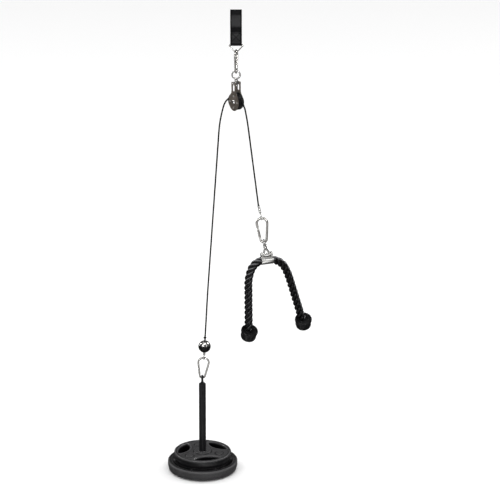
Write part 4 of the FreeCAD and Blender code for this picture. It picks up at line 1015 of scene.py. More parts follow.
def build_hook(name, hook, matrix):
    steel = FINISHES["chrome_wire"]
    body = mesh_piece(name + "_wire", *in_place(hook_body(hook), matrix))
    dress(body, name, "chrome_wire", steel, name)
    gate = mesh_piece(name + "_latch", *in_place(hook_gate(hook), matrix))
    dress(gate, name + "_gate", "chrome_wire", steel, name + "_gate")
    pin = mesh_piece(name + "_rivet", *in_place(rivet(hook), matrix))
    dress(pin, name, "bright_steel", FINISHES["bright_steel"], name + "_pin")


# ---------------------------------------------------------------- turned hardware
def hexagonal(across, low, high, bore):
    """Hexagon nut or head about local Z, with its corners turned off at both ends."""
    sides = 96
    angles = np.linspace(0, 2 * math.pi, sides, endpoint=False)
    hexagon = across / 2 / np.cos((angles + math.pi / 6) % (math.pi / 3) - math.pi / 6)
    bevel = (high - low) * 0.16
    rows = [(bore, low + 0.6), (bore + 0.6, low), (across * 0.40, low), (across * 0.475, low), (None, low + bevel * 0.4),
            (None, low + bevel), (None, high - bevel), (None, high - bevel * 0.4),
            (across * 0.475, high), (across * 0.40, high), (bore + 0.6, high), (bore, high - 0.6)]
    grid = []
    for radius, z in rows:
        if radius is None:
            from_end = min(z - low, high - z)
            ring = np.minimum(hexagon, across * 0.475 + 0.2 + from_end * 1.7)
        else:
            ring = np.minimum(hexagon, radius)
        grid.append(np.stack([ring * np.cos(angles), ring * np.sin(angles), np.full(sides, z)], 1))
    return grid_data(np.array(grid), closed_rows=True)


def threaded(radius, low, high, pitch=1.5):
    """Screw thread's outline from low to high, ready to be turned."""
    profile = [(0.02, low), (radius - 0.8, low), (radius - 0.45, low + 0.4)]
    z = low + pitch / 2
    while z < high - pitch:
        profile += [(radius, z), (radius, z + pitch * 0.2), (radius - 0.55, z + pitch * 0.5), (radius - 0.55, z + pitch * 0.6)]
        z += pitch
    profile += [(radius - 0.45, high - 0.4), (radius - 0.8, high), (0.02, high)]
    return lathe(profile, 48)


def turned_ring(inner, outer, low, high, ease=0.4):
    return lathe(eased([(inner, low), (outer, low), (outer, high), (inner, high)], ease))


def build_swivel():
    top_of_head = box_centre("crosshead")[2] + 5.0
    eye_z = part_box("swivel_eye")[1][2] / MM - SWIVEL_EYE["wire"] - SWIVEL_EYE["bend"]
    neck_z = eye_z - SWIVEL_EYE["neck_drop"]
    loop = circle_loop(0.0, eye_z, SWIVEL_EYE["bend"], 128)
    chunks = [tube(standing(loop), SWIVEL_EYE["wire"], np.array((0, 1.0, 0)), 32, closed=True)]
    profile = [(0.02, top_of_head + 0.2), (6.0, top_of_head + 0.2), (6.5, top_of_head + 0.8), (6.5, neck_z - 2.0),
               (5.8, neck_z + 0.5), (4.2, neck_z + 3.0), (4.6, neck_z + 5.0), (0.02, neck_z + 6.0)]
    chunks.append(lathe(profile, 64))
    eye = forged("swivel_forging", chunks, 0.45)
    dress(eye, "swivel_eye", "bright_steel", FINISHES["bright_steel"], "swivel_eye")
    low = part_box("swivel_eye")[0][2] / MM
    shank = mesh_piece("swivel_shank", *threaded(4.0, low, top_of_head + 1.0, 1.25))
    dress(shank, "swivel_eye", "bright_steel", FINISHES["bright_steel"])
    for node in ("swivel_washer", "swivel_nut"):
        bottom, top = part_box(node)[0][2] / MM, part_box(node)[1][2] / MM
        if node == "swivel_nut":
            data = hexagonal(13.0, bottom, top, 4.05)
        else:
            data = turned_ring(4.1, 8.0, bottom, top, 0.3)
        piece = mesh_piece(node + "_turned", *data)
        dress(piece, "swivel_eye", "bright_steel", FINISHES["bright_steel"], node)


# ---------------------------------------------------------------- pulley block
def cheek_outline():
    """Bell-shaped plate outline, counter-clockwise from the lowest point."""
    belly = np.linspace(-math.pi / 2, 0, 40)
    lower = np.stack([CHEEK["belly"] * np.cos(belly), CHEEK["bottom"] * np.sin(belly)], 1)
    poles = np.array([(CHEEK["belly"], 0), (CHEEK["belly"], CHEEK["flare"] * 0.6),
                      (CHEEK["neck"], CHEEK["flare"] * 0.65), (CHEEK["neck"], CHEEK["flare"])])
    t = np.linspace(0, 1, 30)[1:, None]
    flare = poles[0] * (1 - t) ** 3 + poles[1] * 3 * t * (1 - t) ** 2 + poles[2] * 3 * t ** 2 * (1 - t) + poles[3] * t ** 3
    corner = CHEEK["corner"]
    top = arc((CHEEK["neck"] - corner, CHEEK["top"] - corner), corner, 0, math.pi / 2, math.pi / 16)
    right = np.concatenate([lower, flare, top])
    left = (right * (-1, 1))[::-1][:-1]
    return np.concatenate([right, left])


def cheek_holes():
    half = CHEEK["slot_half"]
    slot = hull_path([(0.0, CHEEK["slot_top"] - half, half), (0.0, CHEEK["slot_top"] - CHEEK["slot_length"] + half, half)])
    return [slot] + [circle_loop(*hole) for hole in cheek_round_holes()]


def build_cheeks():
    for node, y in (("cheek_front", -13.75), ("cheek_rear", 13.75)):
        data = outline_slab(cheek_outline(), cheek_holes(), 2.5, 0.45, shifted(BLOCK, y=y))
        piece = mesh_piece(node.replace("cheek", "side_plate"), *data)
        dress(piece, "block", "stainless", FINISHES["stainless"], node)


def build_crosshead():
    """Forged bar between the cheeks, with riveted tenons."""
    half, low, high = 9.0, 73.5, 83.5
    outline = eased([(-half, low), (half, low), (half, high), (-half, high)], 1.2, 5)
    bar = outline_slab(outline, [], 25.0, 0.5, WORLD)
    profile = [(0.02, -16.4), (2.2, -16.2), (3.5, -15.4), (3.9, -14.9), (3.9, 14.9), (3.5, 15.4), (2.2, 16.2), (0.02, 16.4)]
    tenons = in_place(lathe(profile, 48), place((0, 0, 78.5), (1, 0, 0), (0, 1, 0)))
    piece = mesh_piece("swivel_bar", *in_place(joined([bar, tenons]), BLOCK))
    dress(piece, "block", "bright_steel", FINISHES["bright_steel"], "crosshead")


def build_axle():
    head = [(0.02, -19.9), (2.0, -19.8), (2.6, -19.7), (4.6, -19.3), (6.6, -18.3), (8.3, -16.6), (9.0, -15.4),
            (8.8, -15.02), (5.0, -15.02), (5.0, 15.0)]
    shank = threaded(5.0, 14.0, 24.4, 1.5)
    head = lathe(head + [(0.02, 15.0)], 96)
    bolt = mesh_piece("axle_pin", *in_place(joined([head, shank]), AXLE_PLACE))
    dress(bolt, "block", "bright_steel", FINISHES["bright_steel"], "axle_bolt")
    nut = mesh_piece("axle_hex", *in_place(hexagonal(16.0, 15.0, 23.0, 5.05), AXLE_PLACE))
    dress(nut, "block", "bright_steel", FINISHES["bright_steel"], "axle_nut")


def wheel_profile():
    half, rim = 12.0, 36.0
    groove = [(CABLE_BEND + 3.2 * (1 - math.cos(a)), 3.2 * math.sin(a)) for a in np.linspace(-1.1, 1.1, 11)]
    groove = [(radius - 3.1, z) for radius, z in groove]
    outline = [(11.5, -half), (17.0, -half), (18.0, -8.0), (26.0, -8.0), (27.0, -half), (rim - 1, -half), (rim, 1 - half),
               (rim, -8.5)] + groove + [(rim, 8.5), (rim, half - 1), (rim - 1, half), (27.0, half), (26.0, 8.0), (18.0, 8.0),
                                        (17.0, half), (13.01, half), (13.01, -4.0), (11.5, -4.0)]
    return outline


def build_wheel():
    """Moulded wheel: the recess in each side is crossed by radial ribs."""
    verts, faces, uvs = lathe(eased(wheel_profile(), 0.5, 3), 240)
    radius = np.hypot(verts[:, 0], verts[:, 1])
    angle = np.arctan2(verts[:, 1], verts[:, 0])
    rib = np.clip(1.6 - np.abs(((angle * 10 / (2 * math.pi)) % 1) - 0.5) * 24, 0, 1)
    recess = (radius > 17.4) & (radius < 26.6) & (np.abs(verts[:, 2]) > 7.0)
    verts[:, 2] += np.where(recess, rib * (11.4 - np.abs(verts[:, 2])) * np.sign(verts[:, 2]), 0)
    wheel = mesh_piece("sheave", *in_place((verts, faces, uvs), AXLE_PLACE))
    dress(wheel, "wheel", "wheel_nylon", FINISHES["wheel_nylon"], "pulley_wheel")


# ---------------------------------------------------------------- cable, in the plane of the wheel
def cable_path(leave, bow, run_end, fitting, inside):
    """From the wheel's top, round to where the cable leaves, down its run and on into a fitting."""
    centre = (0.0, BLOCK[2, 3])
    if leave > math.pi / 2:
        wrap = arc(centre, CABLE_BEND, math.pi / 2, leave)
    else:
        wrap = arc(centre, CABLE_BEND, leave, math.pi / 2)[::-1]
    run = rounded_path(wrap[-1], bow, run_end)
    path = moved(WHEEL_PLANE, standing(np.concatenate([wrap[:-1], run])))
    last = path[-1]
    tail = last + (np.array(fitting) - last) * np.linspace(0, 1, 12)[1:, None]
    inside_point = tail[-1] + unit(tail[-1] - last) * inside
    path = resampled(np.concatenate([path, tail, [inside_point]]), 2.0)
    return softened(path, 12)


def build_cable(name, path, nodes):
    across = AXLE
    data = grid_data(tube_grid(path, CABLE_RADIUS + COAT_SWELL, across, 24), caps=True)
    piece = mesh_piece(name, *data, sharp=60)
    dress(piece, None, "cable_coat", FINISHES["cable_coat"], *nodes)
    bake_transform(piece)


def build_cables():
    ferrule_top = moved(WEIGHT_END, (0, 0, 27.0))
    run_end = (-188.8, -1465.0)
    path = cable_path(math.pi / 2 + math.radians(40), [(-68.0, -396.0, 90.0), (-98.0, -490.0, 450.0), (-174.0, -1277.0, 3000.0)],
                      run_end, ferrule_top, 1.0)
    build_cable("cable_weight_side", path,
                ("cable_bend", "cable_weight_run", "weight_cable_tail"))
    ferrule_top = box_centre("handle_ferrule") + HANDLE_END[:3, 2] * 14.0
    run_end = (130.4, -801.0)
    path = cable_path(math.pi / 2 - math.radians(52), [(51.0, -395.0, 90.0), (67.5, -458.0, 500.0)], run_end, ferrule_top, 4.0)
    build_cable("cable_handle_side", path,
                ("cable_handle_run",))


# ---------------------------------------------------------------- crimps and strand eyes
def crimp(low, high):
    """Oval double sleeve, pressed in three places across its length."""
    rows = 60
    angles = np.linspace(0, 2 * math.pi, 72, endpoint=False)
    z = np.linspace(0, high, rows)
    squeeze = sum(np.exp(-((z - high * share) / (high * 0.085)) ** 2) for share in (0.22, 0.5, 0.78))
    ease = np.sqrt(np.clip(1 - np.clip((1.4 - np.minimum(z, high - z)) / 1.4, 0, 1) ** 2, 0, 1)) * 0.25 + 0.75
    wide = (5.6 + 2.6) * ease * (1 + 0.03 * squeeze)
    thin = 5.6 * ease * (1 - 0.17 * squeeze)
    waist = 1 - 0.16 * np.exp(-(np.cos(angles) / 0.30) ** 2)
    power = 0.85
    x = np.sign(np.cos(angles)) * np.abs(np.cos(angles)) ** power
    y = np.sign(np.sin(angles)) * np.abs(np.sin(angles)) ** power * waist
    grid = np.stack([wide[:, None] * x, thin[:, None] * y, np.repeat(z[:, None] + low, 72, 1)], 2)
    return grid_data(grid, caps=True)


def strand_eye(bend, low):
    """Wire strand from the crimp round its eye and back, wires laid in a helix."""
    lean = math.asin((bend - 2.6) / (low - bend))
    turn = arc((0.0, bend), bend, math.pi - lean, 2 * math.pi + lean)
    path = np.concatenate([[(-2.6, low + 3.0), (-2.6, low)], turn, [(2.6, low), (2.6, low + 3.0)]])
    path = standing(softened(resampled(path, 0.7), 6))
    grid = tube_grid(path, 1.0, np.array((0, 1.0, 0)), 42)
    middle = grid.mean(1)[:, None]
    s = np.arange(len(path)) * 0.7
    angles = np.linspace(0, 2 * math.pi, 42, endpoint=False)
    wires = STRAND_RADIUS * (0.93 + 0.07 * np.abs(np.cos(3.5 * (angles[None] + 2 * math.pi * s[:, None] / 22))))
    return grid_data(middle + (grid - middle) * wires[:, :, None], caps=True)


def build_crimp(end, matrix, bend, ferrule, low, high, drop):
    quarter = np.eye(4)
    quarter[:3, :3] = np.array([(0, -1, 0), (1, 0, 0), (0, 0, 1)], float)
    spun = shifted(matrix, z=-drop) @ quarter
    sleeve = mesh_piece(end + "_crimp", *in_place(crimp(low, high), spun))
    dress(sleeve, end + "_end", "bright_steel", FINISHES["bright_steel"], ferrule)
    eye = mesh_piece(end + "_strand", *in_place(strand_eye(bend, low), spun), sharp=80)
    dress(eye, end + "_end", "bare_wire", FINISHES["bare_wire"], end + "_eye")


# ---------------------------------------------------------------- weight end
def build_weight_end():
    small_drop = SMALL_HOOK["wire"] + STRAND_RADIUS + HANG_GAP
    build_crimp("weight", WEIGHT_END, 8.0, "weight_ferrule", 15.0 + small_drop, 14.0, small_drop)
    collar = lathe(eased([(3.02, 91.5), (4.6, 91.5), (6.5, 93.0), (6.5, 96.2), (4.4, 98.5), (3.02, 98.5)], 0.6))
    piece = mesh_piece("cable_collar", *in_place(collar, WEIGHT_END))
    dress(piece, "weight_end", "stop_rubber", FINISHES["stop_rubber"], "stop_collar")
    radius, lift, cap_from = 26.5, 53.7, 9.0
    lowest = -math.asin(23.5 / radius)
    highest = math.asin(cap_from / radius)
    ball = [(3.2, lift - 23.5), (4.0, lift - 23.5)]
    ball += [(radius * math.cos(a), lift + radius * math.sin(a)) for a in np.linspace(lowest, highest, 40)]
    inner = radius - 1.2
    ball += [(inner * math.cos(a), lift + inner * math.sin(a)) for a in np.linspace(highest, 1.4, 10)]
    ball.append((3.2, lift + inner * math.sin(1.4)))
    piece = mesh_piece("ball_body", *in_place(lathe(ball, 128), WEIGHT_END))
    dress(piece, "weight_end", "stop_rubber", FINISHES["stop_rubber"], "ball_stop")
    outer = [(radius * math.cos(a), lift + radius * math.sin(a)) for a in np.linspace(highest, 1.42, 36)]
    shell = [(inner * math.cos(a), lift + inner * math.sin(a)) for a in np.linspace(1.42, highest, 10)]
    lip = [(radius * math.cos(highest) + 0.25, lift + cap_from - 0.3)]
    piece = mesh_piece("ball_dome", *in_place(lathe(lip + outer + shell, 128), WEIGHT_END))
    dress(piece, "weight_end", "bright_steel", FINISHES["bright_steel"], "ball_cap")


# ---------------------------------------------------------------- loading pin
def build_pin():
    foot = PIN.copy()
    foot[:3, 3] = (*box_centre("pin_tube")[:2], 0.0)
    tube_top, tube_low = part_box("pin_tube")[1][2] / MM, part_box("pin_tube")[0][2] / MM
    eye_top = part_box("pin_eye_bolt")[1][2] / MM
    centre = np.array((*box_centre("pin_eye_bolt")[:2], eye_top - 15.5))
    ring = standing(circle_loop(0, 0, 11.0, 96))[:, [1, 0, 2]] + centre
    shank_low = tube_top + 5.0
    neck = lathe([(0.02, shank_low), (6.0, shank_low), (6.0, centre[2] - 16.5), (4.6, centre[2] - 12.0), (0.02, centre[2] - 10.5)], 64)
    washer = turned_ring(5.8, 8.2, shank_low, shank_low + 2.0)
    bolt = forged("pin_eye_forging", [tube(ring, 4.5, np.array((1.0, 0, 0)), 32, closed=True),
                                      in_place(neck, shifted(WORLD, centre[0], centre[1]))], 0.5)
    dress(bolt, "loading_pin", "pin_paint", FINISHES["pin_paint"], "pin_eye_bolt")
    cap = [(6.05, tube_top - 7), (12.9, tube_top - 7), (12.9, tube_top), (15.0, tube_top), (15.0, tube_top + 1.5),
           (13.95, tube_top + 3.2), (11.25, tube_top + 4.6), (7.5, tube_top + 5.4), (6.05, tube_top + 5.6)]
    piece = mesh_piece("pin_end_cap", *in_place(joined([lathe(eased(cap, 0.5), 96), washer]), foot))
    dress(piece, "loading_pin", "pin_paint", FINISHES["pin_paint"], "pin_cap")
    wall = [(15.0, tube_low), (15.0, tube_top - 0.1), (13.0, tube_top - 0.1), (13.0, tube_low)]
    piece = mesh_piece("pin_post", *in_place(lathe(eased(wall, 0.5), 96), foot))
    dress(piece, "loading_pin", "pin_paint", FINISHES["pin_paint"], "pin_tube")
    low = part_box("pin_base")[0][2] / MM
    base = [(0.02, low), (64.0, low), (65.0, low + 1), (65.0, low + 4.9), (64.0, low + 5.8), (16.5, low + 5.8), (15.6, low + 8.0),
            (12.9, low + 8.5), (12.9, low + 46), (0.02, low + 46)]
    piece = mesh_piece("pin_foot", *in_place(lathe(eased(base, 0.6), 128), foot))
    dress(piece, "loading_pin", "pin_paint", FINISHES["pin_paint"], "pin_base")


# ---------------------------------------------------------------- weight plates
def smoothstep(value, low, high):
    t = np.clip((value - low) / (high - low), 0, 1)
    return t * t * (3 - 2 * t)


def circle_through(a, b, c):
    """Centre and radius of the circle through three plan points."""
    matrix = 2 * np.array([b - a, c - a])
    centre = np.linalg.solve(matrix, np.array([b @ b - a @ a, c @ c - a @ a]))
    return centre, np.linalg.norm(centre - a)


def ring_point(degrees, radius=1.0):
    return np.array((math.cos(math.radians(degrees)), math.sin(math.radians(degrees)))) * radius


def arc_between(centre, start, end, count):
    """Counter-clockwise arc from one plan point to another, last point left out."""
    first = math.atan2(*(start - centre)[::-1])
    last = math.atan2(*(end - centre)[::-1])
    while last <= first:
        last += 2 * math.pi
    angles = np.linspace(first, last, count, endpoint=False)
    return centre + np.linalg.norm(start - centre) * np.stack([np.cos(angles), np.sin(angles)], 1)


def lens_loop(plate, degrees, grow):
    """Hand hole's outline, counter-clockwise, grown outwards; its corners are rounded."""
    radius, corner = plate["radius"], 5.0
    ends = [ring_point(degrees + side * GRIP_HALF_ANGLE, radius * 0.86) for side in (-1, 1)]
    inner_centre, inner_radius = circle_through(ends[0], ring_point(degrees, radius * 0.50), ends[1])
    outer_core, inner_core = radius * 0.86 - corner, inner_radius - corner
    apart = np.linalg.norm(inner_centre)
    share = (outer_core ** 2 - inner_core ** 2 + apart ** 2) / (2 * apart)
    rise = math.sqrt(outer_core ** 2 - share ** 2)
    axis = inner_centre / apart
    side = np.array((-axis[1], axis[0]))
    cores = [axis * share - side * rise, axis * share + side * rise]
    if (cores[0] - cores[1]) @ (ends[0] - ends[1]) < 0:
        cores = cores[::-1]
    reach = corner + grow
    outer = [core + unit(core) * reach for core in cores]
    inner = [core + unit(core - inner_centre) * reach for core in cores]
    return np.concatenate([
        arc_between(np.zeros(2), outer[0], outer[1], 64), arc_between(cores[1], outer[1], inner[1], 12),
        arc_between(inner_centre, inner[1], inner[0], 64), arc_between(cores[0], inner[0], outer[0], 12),
    ])


def loop_distance(points, loop):
    """Distance from each point to a closed loop of short segments."""
    best = np.full(len(points), 1e9)
    following = np.roll(loop, -1, 0)
    for a, b in zip(loop, following):
        run = b - a
        t = np.clip(((points - a) @ run) / (run @ run), 0, 1)
        best = np.minimum(best, np.linalg.norm(points - a - t[:, None] * run, axis=1))
    return best


def inside_loop(points, loop):
    x, y = points[:, 0], points[:, 1]
    inside = np.zeros(len(points), bool)
    for (x1, y1), (x2, y2) in zip(loop, np.roll(loop, -1, 0)):
        crosses = (y1 > y) != (y2 > y)
        if abs(y2 - y1) > 1e-12:
            inside ^= crosses & (x < (x2 - x1) * (y - y1) / (y2 - y1) + x1)
    return inside


def rounding(distance, radius):
    """How far an edge rounded to a radius has dropped at a distance from the edge."""
    short = np.clip(radius - distance, 0, radius)
    return radius - np.sqrt(np.clip(radius ** 2 - short ** 2, 0, None))


def badge_grid(plate, step):
    """Fine points under the raised badges, grip marks and ribs."""
    radius = plate["radius"]
    patches = []
    for index in range(3):
        middle = ring_point(plate["grip_turn"] + 60 + index * 120, radius * BADGE_PART)
        patches.append(patch(middle, 24, 22, plate["grip_turn"] + 60 + index * 120 - 90, step))
        for side in (-1, 1):
            middle = ring_point(plate["grip_turn"] + index * 120 + side * 38, radius * GROOVE_PART)
            patches.append(patch(middle, 3, radius * 0.06, plate["grip_turn"] + index * 120 + side * 38 - 90, 0.9))
    for rib in rib_angles(plate):
        patches.append(patch(ring_point(rib, radius * GROOVE_PART), 2.4, 7, rib - 90, 0.9))
    return np.concatenate(patches)


def patch(middle, half_wide, half_high, turn, step):
    """Grid of points in a turned rectangle."""
    x, y = np.meshgrid(np.arange(-half_wide, half_wide + step, step), np.arange(-half_high, half_high + step, step))
    c, s = math.cos(math.radians(turn)), math.sin(math.radians(turn))
    return middle + np.stack([x.ravel() * c - y.ravel() * s, x.ravel() * s + y.ravel() * c], 1)


def rib_angles(plate):
    if plate is UPPER_PLATE:
        return []
    return [10 - 3.6 * index for index in range(10) if index != 5]


def turned_coordinates(points, middle, turn):
    c, s = math.cos(math.radians(turn)), math.sin(math.radians(turn))
    x, y = (points - middle).T
    return x * c + y * s, -x * s + y * c


BADGE_PART = 0.61
GROOVE_PART = 0.925


def plate_marks(plate, points):
    """For each plan point: part of a badge, of a badge's rim, of a sunk line and of a raised rib, from 0 to 1."""
    radius = plate["radius"]
    distance = np.hypot(*points.T)
    badge, rim, rib_part = np.zeros((3, len(points)))
    sunk = np.exp(-((distance - radius * 0.29 - 3.5) / 1.7) ** 2)
    for index in range(3):
        turn = plate["grip_turn"] + 60 + index * 120
        x, y = turned_coordinates(points, ring_point(turn, radius * BADGE_PART), turn - 90)
        oval = np.hypot(x / 20.0, y / 18.0)
        badge += 1 - smoothstep(oval, 0.80, 0.92)
        rim += np.exp(-((oval - 0.80) / 0.06) ** 2)
        sunk += np.exp(-((oval - 1.0) / 0.11) ** 2)
        for side in (-1, 1):
            turn = plate["grip_turn"] + index * 120 + side * 38
            x, y = turned_coordinates(points, ring_point(turn, radius * GROOVE_PART), turn - 90)
            sunk += (1 - smoothstep(np.abs(x), 1.0, 2.2)) * (1 - smoothstep(np.abs(y), radius * 0.05, radius * 0.06))
    for rib in rib_angles(plate):
        x, y = turned_coordinates(points, ring_point(rib, radius * GROOVE_PART), rib - 90)
        rib_part += (1 - smoothstep(np.abs(x), 0.8, 1.8)) * (1 - smoothstep(np.abs(y), 5.0, 6.2))
    return badge, rim, np.minimum(sunk, 1), rib_part


def plate_points(plate, lenses):
    """Plan points of the plate's face: along every step of its shape, then a hexagonal filling."""
    radius = plate["radius"]
    hub, lip = radius * 0.29, radius * 0.90
    groove = radius * GROOVE_PART
    rings = [18.3, 18.7, hub, hub + 1, hub + 2, hub + 3, hub + 4, hub + 5, hub + 6, lip - 3, lip - 2, lip - 1, lip,
             groove - 2, groove - 1, groove, groove + 1, groove + 2,
             radius - 5, radius - 3.2, radius - 1.8, radius - 0.8, radius - 0.25]
    groups = [badge_grid(plate, 1.3)]
    groups += [circle_loop(0, 0, ring, int(ring * 2.2)) for ring in rings]
    for index in range(3):
        turn = plate["grip_turn"] + index * 120
        groups += [lens_loop(plate, turn, grow)[::2] for grow in (0.25, 0.8, 1.8, 3.2, 5.0, 7.0, 9.0, 10.5, 12.0, 14.0)]
    step = 3.2
    x, y = np.meshgrid(np.arange(-radius, radius, step), np.arange(-radius, radius, step * 0.866))
    x = x + (np.arange(len(x)) % 2)[:, None] * step / 2
    groups.append(np.stack([x.ravel(), y.ravel()], 1))
    points = np.concatenate(groups)
    distance = np.hypot(*points.T)
    keep = (distance < radius - 0.2) & (distance > 18.2)
    for loop in lenses:
        keep &= ~inside_loop(points, loop)
    points = points[keep]
    return points[thinned(points, 0.75)]


def thinned(points, gap):
    """Indices of points that keep a little apart, earlier ones first."""
    taken, kept = {}, []
    cells = np.floor(points / gap).astype(int)
    for index, (i, j) in enumerate(cells):
        near = [taken.get((i + a, j + b)) for a in (-1, 0, 1) for b in (-1, 0, 1)]
        if all(other is None or np.hypot(*(points[index] - points[other])) >= gap for other in near):
            taken[(i, j)] = index
            kept.append(index)
    return kept


def rim_groove(plate, distance, edge):
    """Part of the line that runs round the rim and stops at the hand holes."""
    return np.exp(-((distance - plate["radius"] * GROOVE_PART) / 1.5) ** 2) * smoothstep(edge, 1.5, 5.0)


def plate_height(plate, points, lenses):
    radius, high = plate["radius"], plate["high"]
    distance = np.hypot(*points.T)
    badge, rim, sunk, rib_part = plate_marks(plate, points)
    hub, lip = radius * 0.29, radius * 0.90
    raised = np.maximum(1 - smoothstep(distance, hub, hub + 3), smoothstep(distance, lip - 3, lip)) * 3.0
    edge = np.min([loop_distance(points, loop) for loop in lenses], axis=0)
    border = (1 - smoothstep(edge, 9.0, 12.0)) * 2.3
    relief = badge * 0.8 + rim * 0.6 + rib_part * 1.1 - sunk * 1.5 - rim_groove(plate, distance, edge) * 1.6
    z = high - 3.0 + np.maximum(raised, border) + relief - 0.2
    z -= rounding(edge, 5.0) + rounding(radius - distance, 5.0) + rounding(distance - 18.0, 0.8)
    return np.minimum(z, high)


def plate_mesh(plate):
    """Plate with a shaped face, rounded hand holes and a plain back."""
    radius, high = plate["radius"], plate["high"]
    lenses = [lens_loop(plate, plate["grip_turn"] + index * 120, 0.0) for index in range(3)]
    rim = circle_loop(0, 0, radius, 320)
    bore = circle_loop(0, 0, 18.0, 96)
    loops = [rim, bore] + lenses
    inner = plate_points(plate, lenses)
    points = np.concatenate(loops + [inner])
    edges, base = [], 0
    for loop in loops:
        edges += [(base + k, base + (k + 1) % len(loop)) for k in range(len(loop))]
        base += len(loop)
    plan, _, triangles, origin, _, _ = delaunay_2d_cdt([Vector(p) for p in points.tolist()], edges, [], 0, 1e-6)
    plan = np.array([tuple(p) for p in plan])
    middles = np.array([plan[list(t)].mean(0) for t in triangles])
    keep = (np.hypot(*middles.T) > 17.99) & (np.hypot(*middles.T) < radius)
    for loop in lenses:
        keep &= ~inside_loop(middles, loop)
    triangles = [list(t) for t, k in zip(triangles, keep) if k]
    top = np.column_stack([plan, plate_height(plate, plan, lenses)])
    distance = np.hypot(*plan.T)
    pulled = plan * (1 - 4.0 * smoothstep(distance, radius * 0.9, radius) / distance)[:, None]
    edge = np.min([loop_distance(plan, loop) for loop in loops], axis=0)
    back = np.column_stack([pulled, rounding(edge, 1.6)])
    count = len(plan)
    faces = triangles + [[i + count for i in t[::-1]] for t in triangles]
    verts = np.concatenate([top, back])
    place_of = {}
    for index, sources in enumerate(origin):
        for source in sources:
            place_of[source] = index
    walls, base = [], 0
    for number, loop in enumerate(loops):
        ids = [place_of[base + k] for k in range(len(loop))]
        base += len(loop)
        ring_rows = [ids]
        levels = np.linspace(1, 0, 9)[1:-1]
        for level in levels:
            upper, lower = top[ids], back[ids]
            row = lower + (upper - lower) * level
            if number == 0:
                bulge = smoothstep(row[:, 2] / high, 0.0, 0.5)[:, None]
                row[:, :2] = lower[:, :2] + (upper[:, :2] - lower[:, :2]) * bulge
            ring_rows.append(list(range(len(verts), len(verts) + len(ids))))
            verts = np.concatenate([verts, row])
        ring_rows.append([i + count for i in ids])
        outward = number == 0
        for upper, lower in zip(ring_rows, ring_rows[1:]):
            for k in range(len(ids)):
                n = (k + 1) % len(ids)
                quad = [upper[k], lower[k], lower[n], upper[n]]
                walls.append(quad if outward else quad[::-1])
    faces += walls
    uvs = np.concatenate([verts[face][:, :2] for face in faces])
    return verts, faces, uvs


def mark_plate(piece, plate, foot):
    """Notes on each point of the face its painted shade (below 0, in sunk lines and the rim groove) and its painted
    highlight (above 0, on the hand holes' lips, the outer edge, ribs and badge rims).
    """
    points = np.array([tuple(vertex.co) for vertex in piece.data.vertices]) / MM - foot
    plan, radius = points[:, :2], plate["radius"]
    distance = np.hypot(*plan.T)
    lenses = [lens_loop(plate, plate["grip_turn"] + index * 120, 0.0) for index in range(3)]
    edge = np.min([loop_distance(plan, loop) for loop in lenses], axis=0)
    badge, rim, sunk, rib_part = plate_marks(plate, plan)
    # painted highlight along the hand holes' lips and round the outer edge
    painted_edge_highlight = np.exp(-((edge - 1.8) / 1.6) ** 2) * 0.7 + np.exp(-((radius - distance - 2.6) / 1.8) ** 2) * 0.35
    painted_shade_highlight = painted_edge_highlight + rib_part + rim * 0.25 - sunk - rim_groove(plate, distance, edge)
    painted_shade_highlight = np.where(points[:, 2] > plate["high"] - 7.0, np.clip(painted_shade_highlight, -1, 1), 0)
    layer = piece.data.attributes.new("painted_shade_highlight", "FLOAT", "POINT")
    layer.data.foreach_set("value", painted_shade_highlight.astype(np.float32))


def build_plates():
    for name, plate in (("upper_plate", UPPER_PLATE), ("lower_plate", LOWER_PLATE)):
        foot = np.array((*box_centre("pin_tube")[:2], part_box(name)[0][2] / MM))
        piece = mesh_piece(name + "_casting", *in_place(plate_mesh(plate), shifted(WORLD, *foot)), sharp=50)
        mark_plate(piece, plate, foot)
        # the lower plate takes the shaded copy of the plate finish
        finish = FINISHES["plate_rubber" if plate is UPPER_PLATE else "plate_rubber_shaded_low"]
        dress(piece, name, "plate_rubber", finish, name)
        liner = turned_ring(15.75, 17.95, 0.1, plate["high"] - 0.1, 0.5)
        piece = mesh_piece(name + "_liner", *in_place(liner, shifted(WORLD, *foot)))
        dress(piece, name, "bearing_steel", FINISHES["bearing_steel"], name + "_bush")


# ---------------------------------------------------------------- handle hardware
def build_bail():
    """Forged eye on a stem that forks into two feet on the cross bolt."""
    drop = np.linalg.norm(joint_pos("bail_swing") - joint_pos("bracket_tilt"))
    ring = standing(circle_loop(0, -BAIL["bend"], BAIL["bend"], 96))[:, [1, 0, 2]]
    chunks = [in_place(tube(ring, BAIL["wire"], np.array((1.0, 0, 0)), 32, closed=True), BAIL_PLACE)]
    stem = [(0.02, -BAIL["fork"] - 2), (BAIL["stem"], -BAIL["fork"] - 2), (BAIL["stem"] * 0.92, -28.0), (BAIL["stem"] * 0.92, -24.0),
            (BAIL["stem"] * 1.1, -21.5), (BAIL["stem"] * 0.7, -18.0), (0.02, -17.0)]
    chunks.append(in_place(lathe(stem, 64), BAIL_PLACE))
    fork = moved(BAIL_PLACE, (0, 0, -BAIL["fork"] + 1))
    centre = joint_pos("bracket_tilt")
    heading = BRACKET[:3, 0]
    chunks.append(sphere_data(fork, BAIL["stem"] * 1.05))
    for side in (-1, 1):
        foot = centre + heading * side * BAIL["foot"]
        aim = foot + (fork - centre) * ((BAIL["foot_radius"] - 1) / drop)
        chunks.append(straight(fork, aim, BAIL["leg"] * 1.05, 32, 1.0))
        half = heading * BAIL["foot_half"]
        boss = turned_ring(4.1, BAIL["foot_radius"], -BAIL["foot_half"], BAIL["foot_half"], 0.8)
        chunks.append(in_place(boss, place(foot, (0, 0, 1), heading)))
    piece = forged("bail_forging", chunks, 0.5)
    dress(piece, "rope_bail", "bright_steel", FINISHES["bright_steel"], "rope_bail")


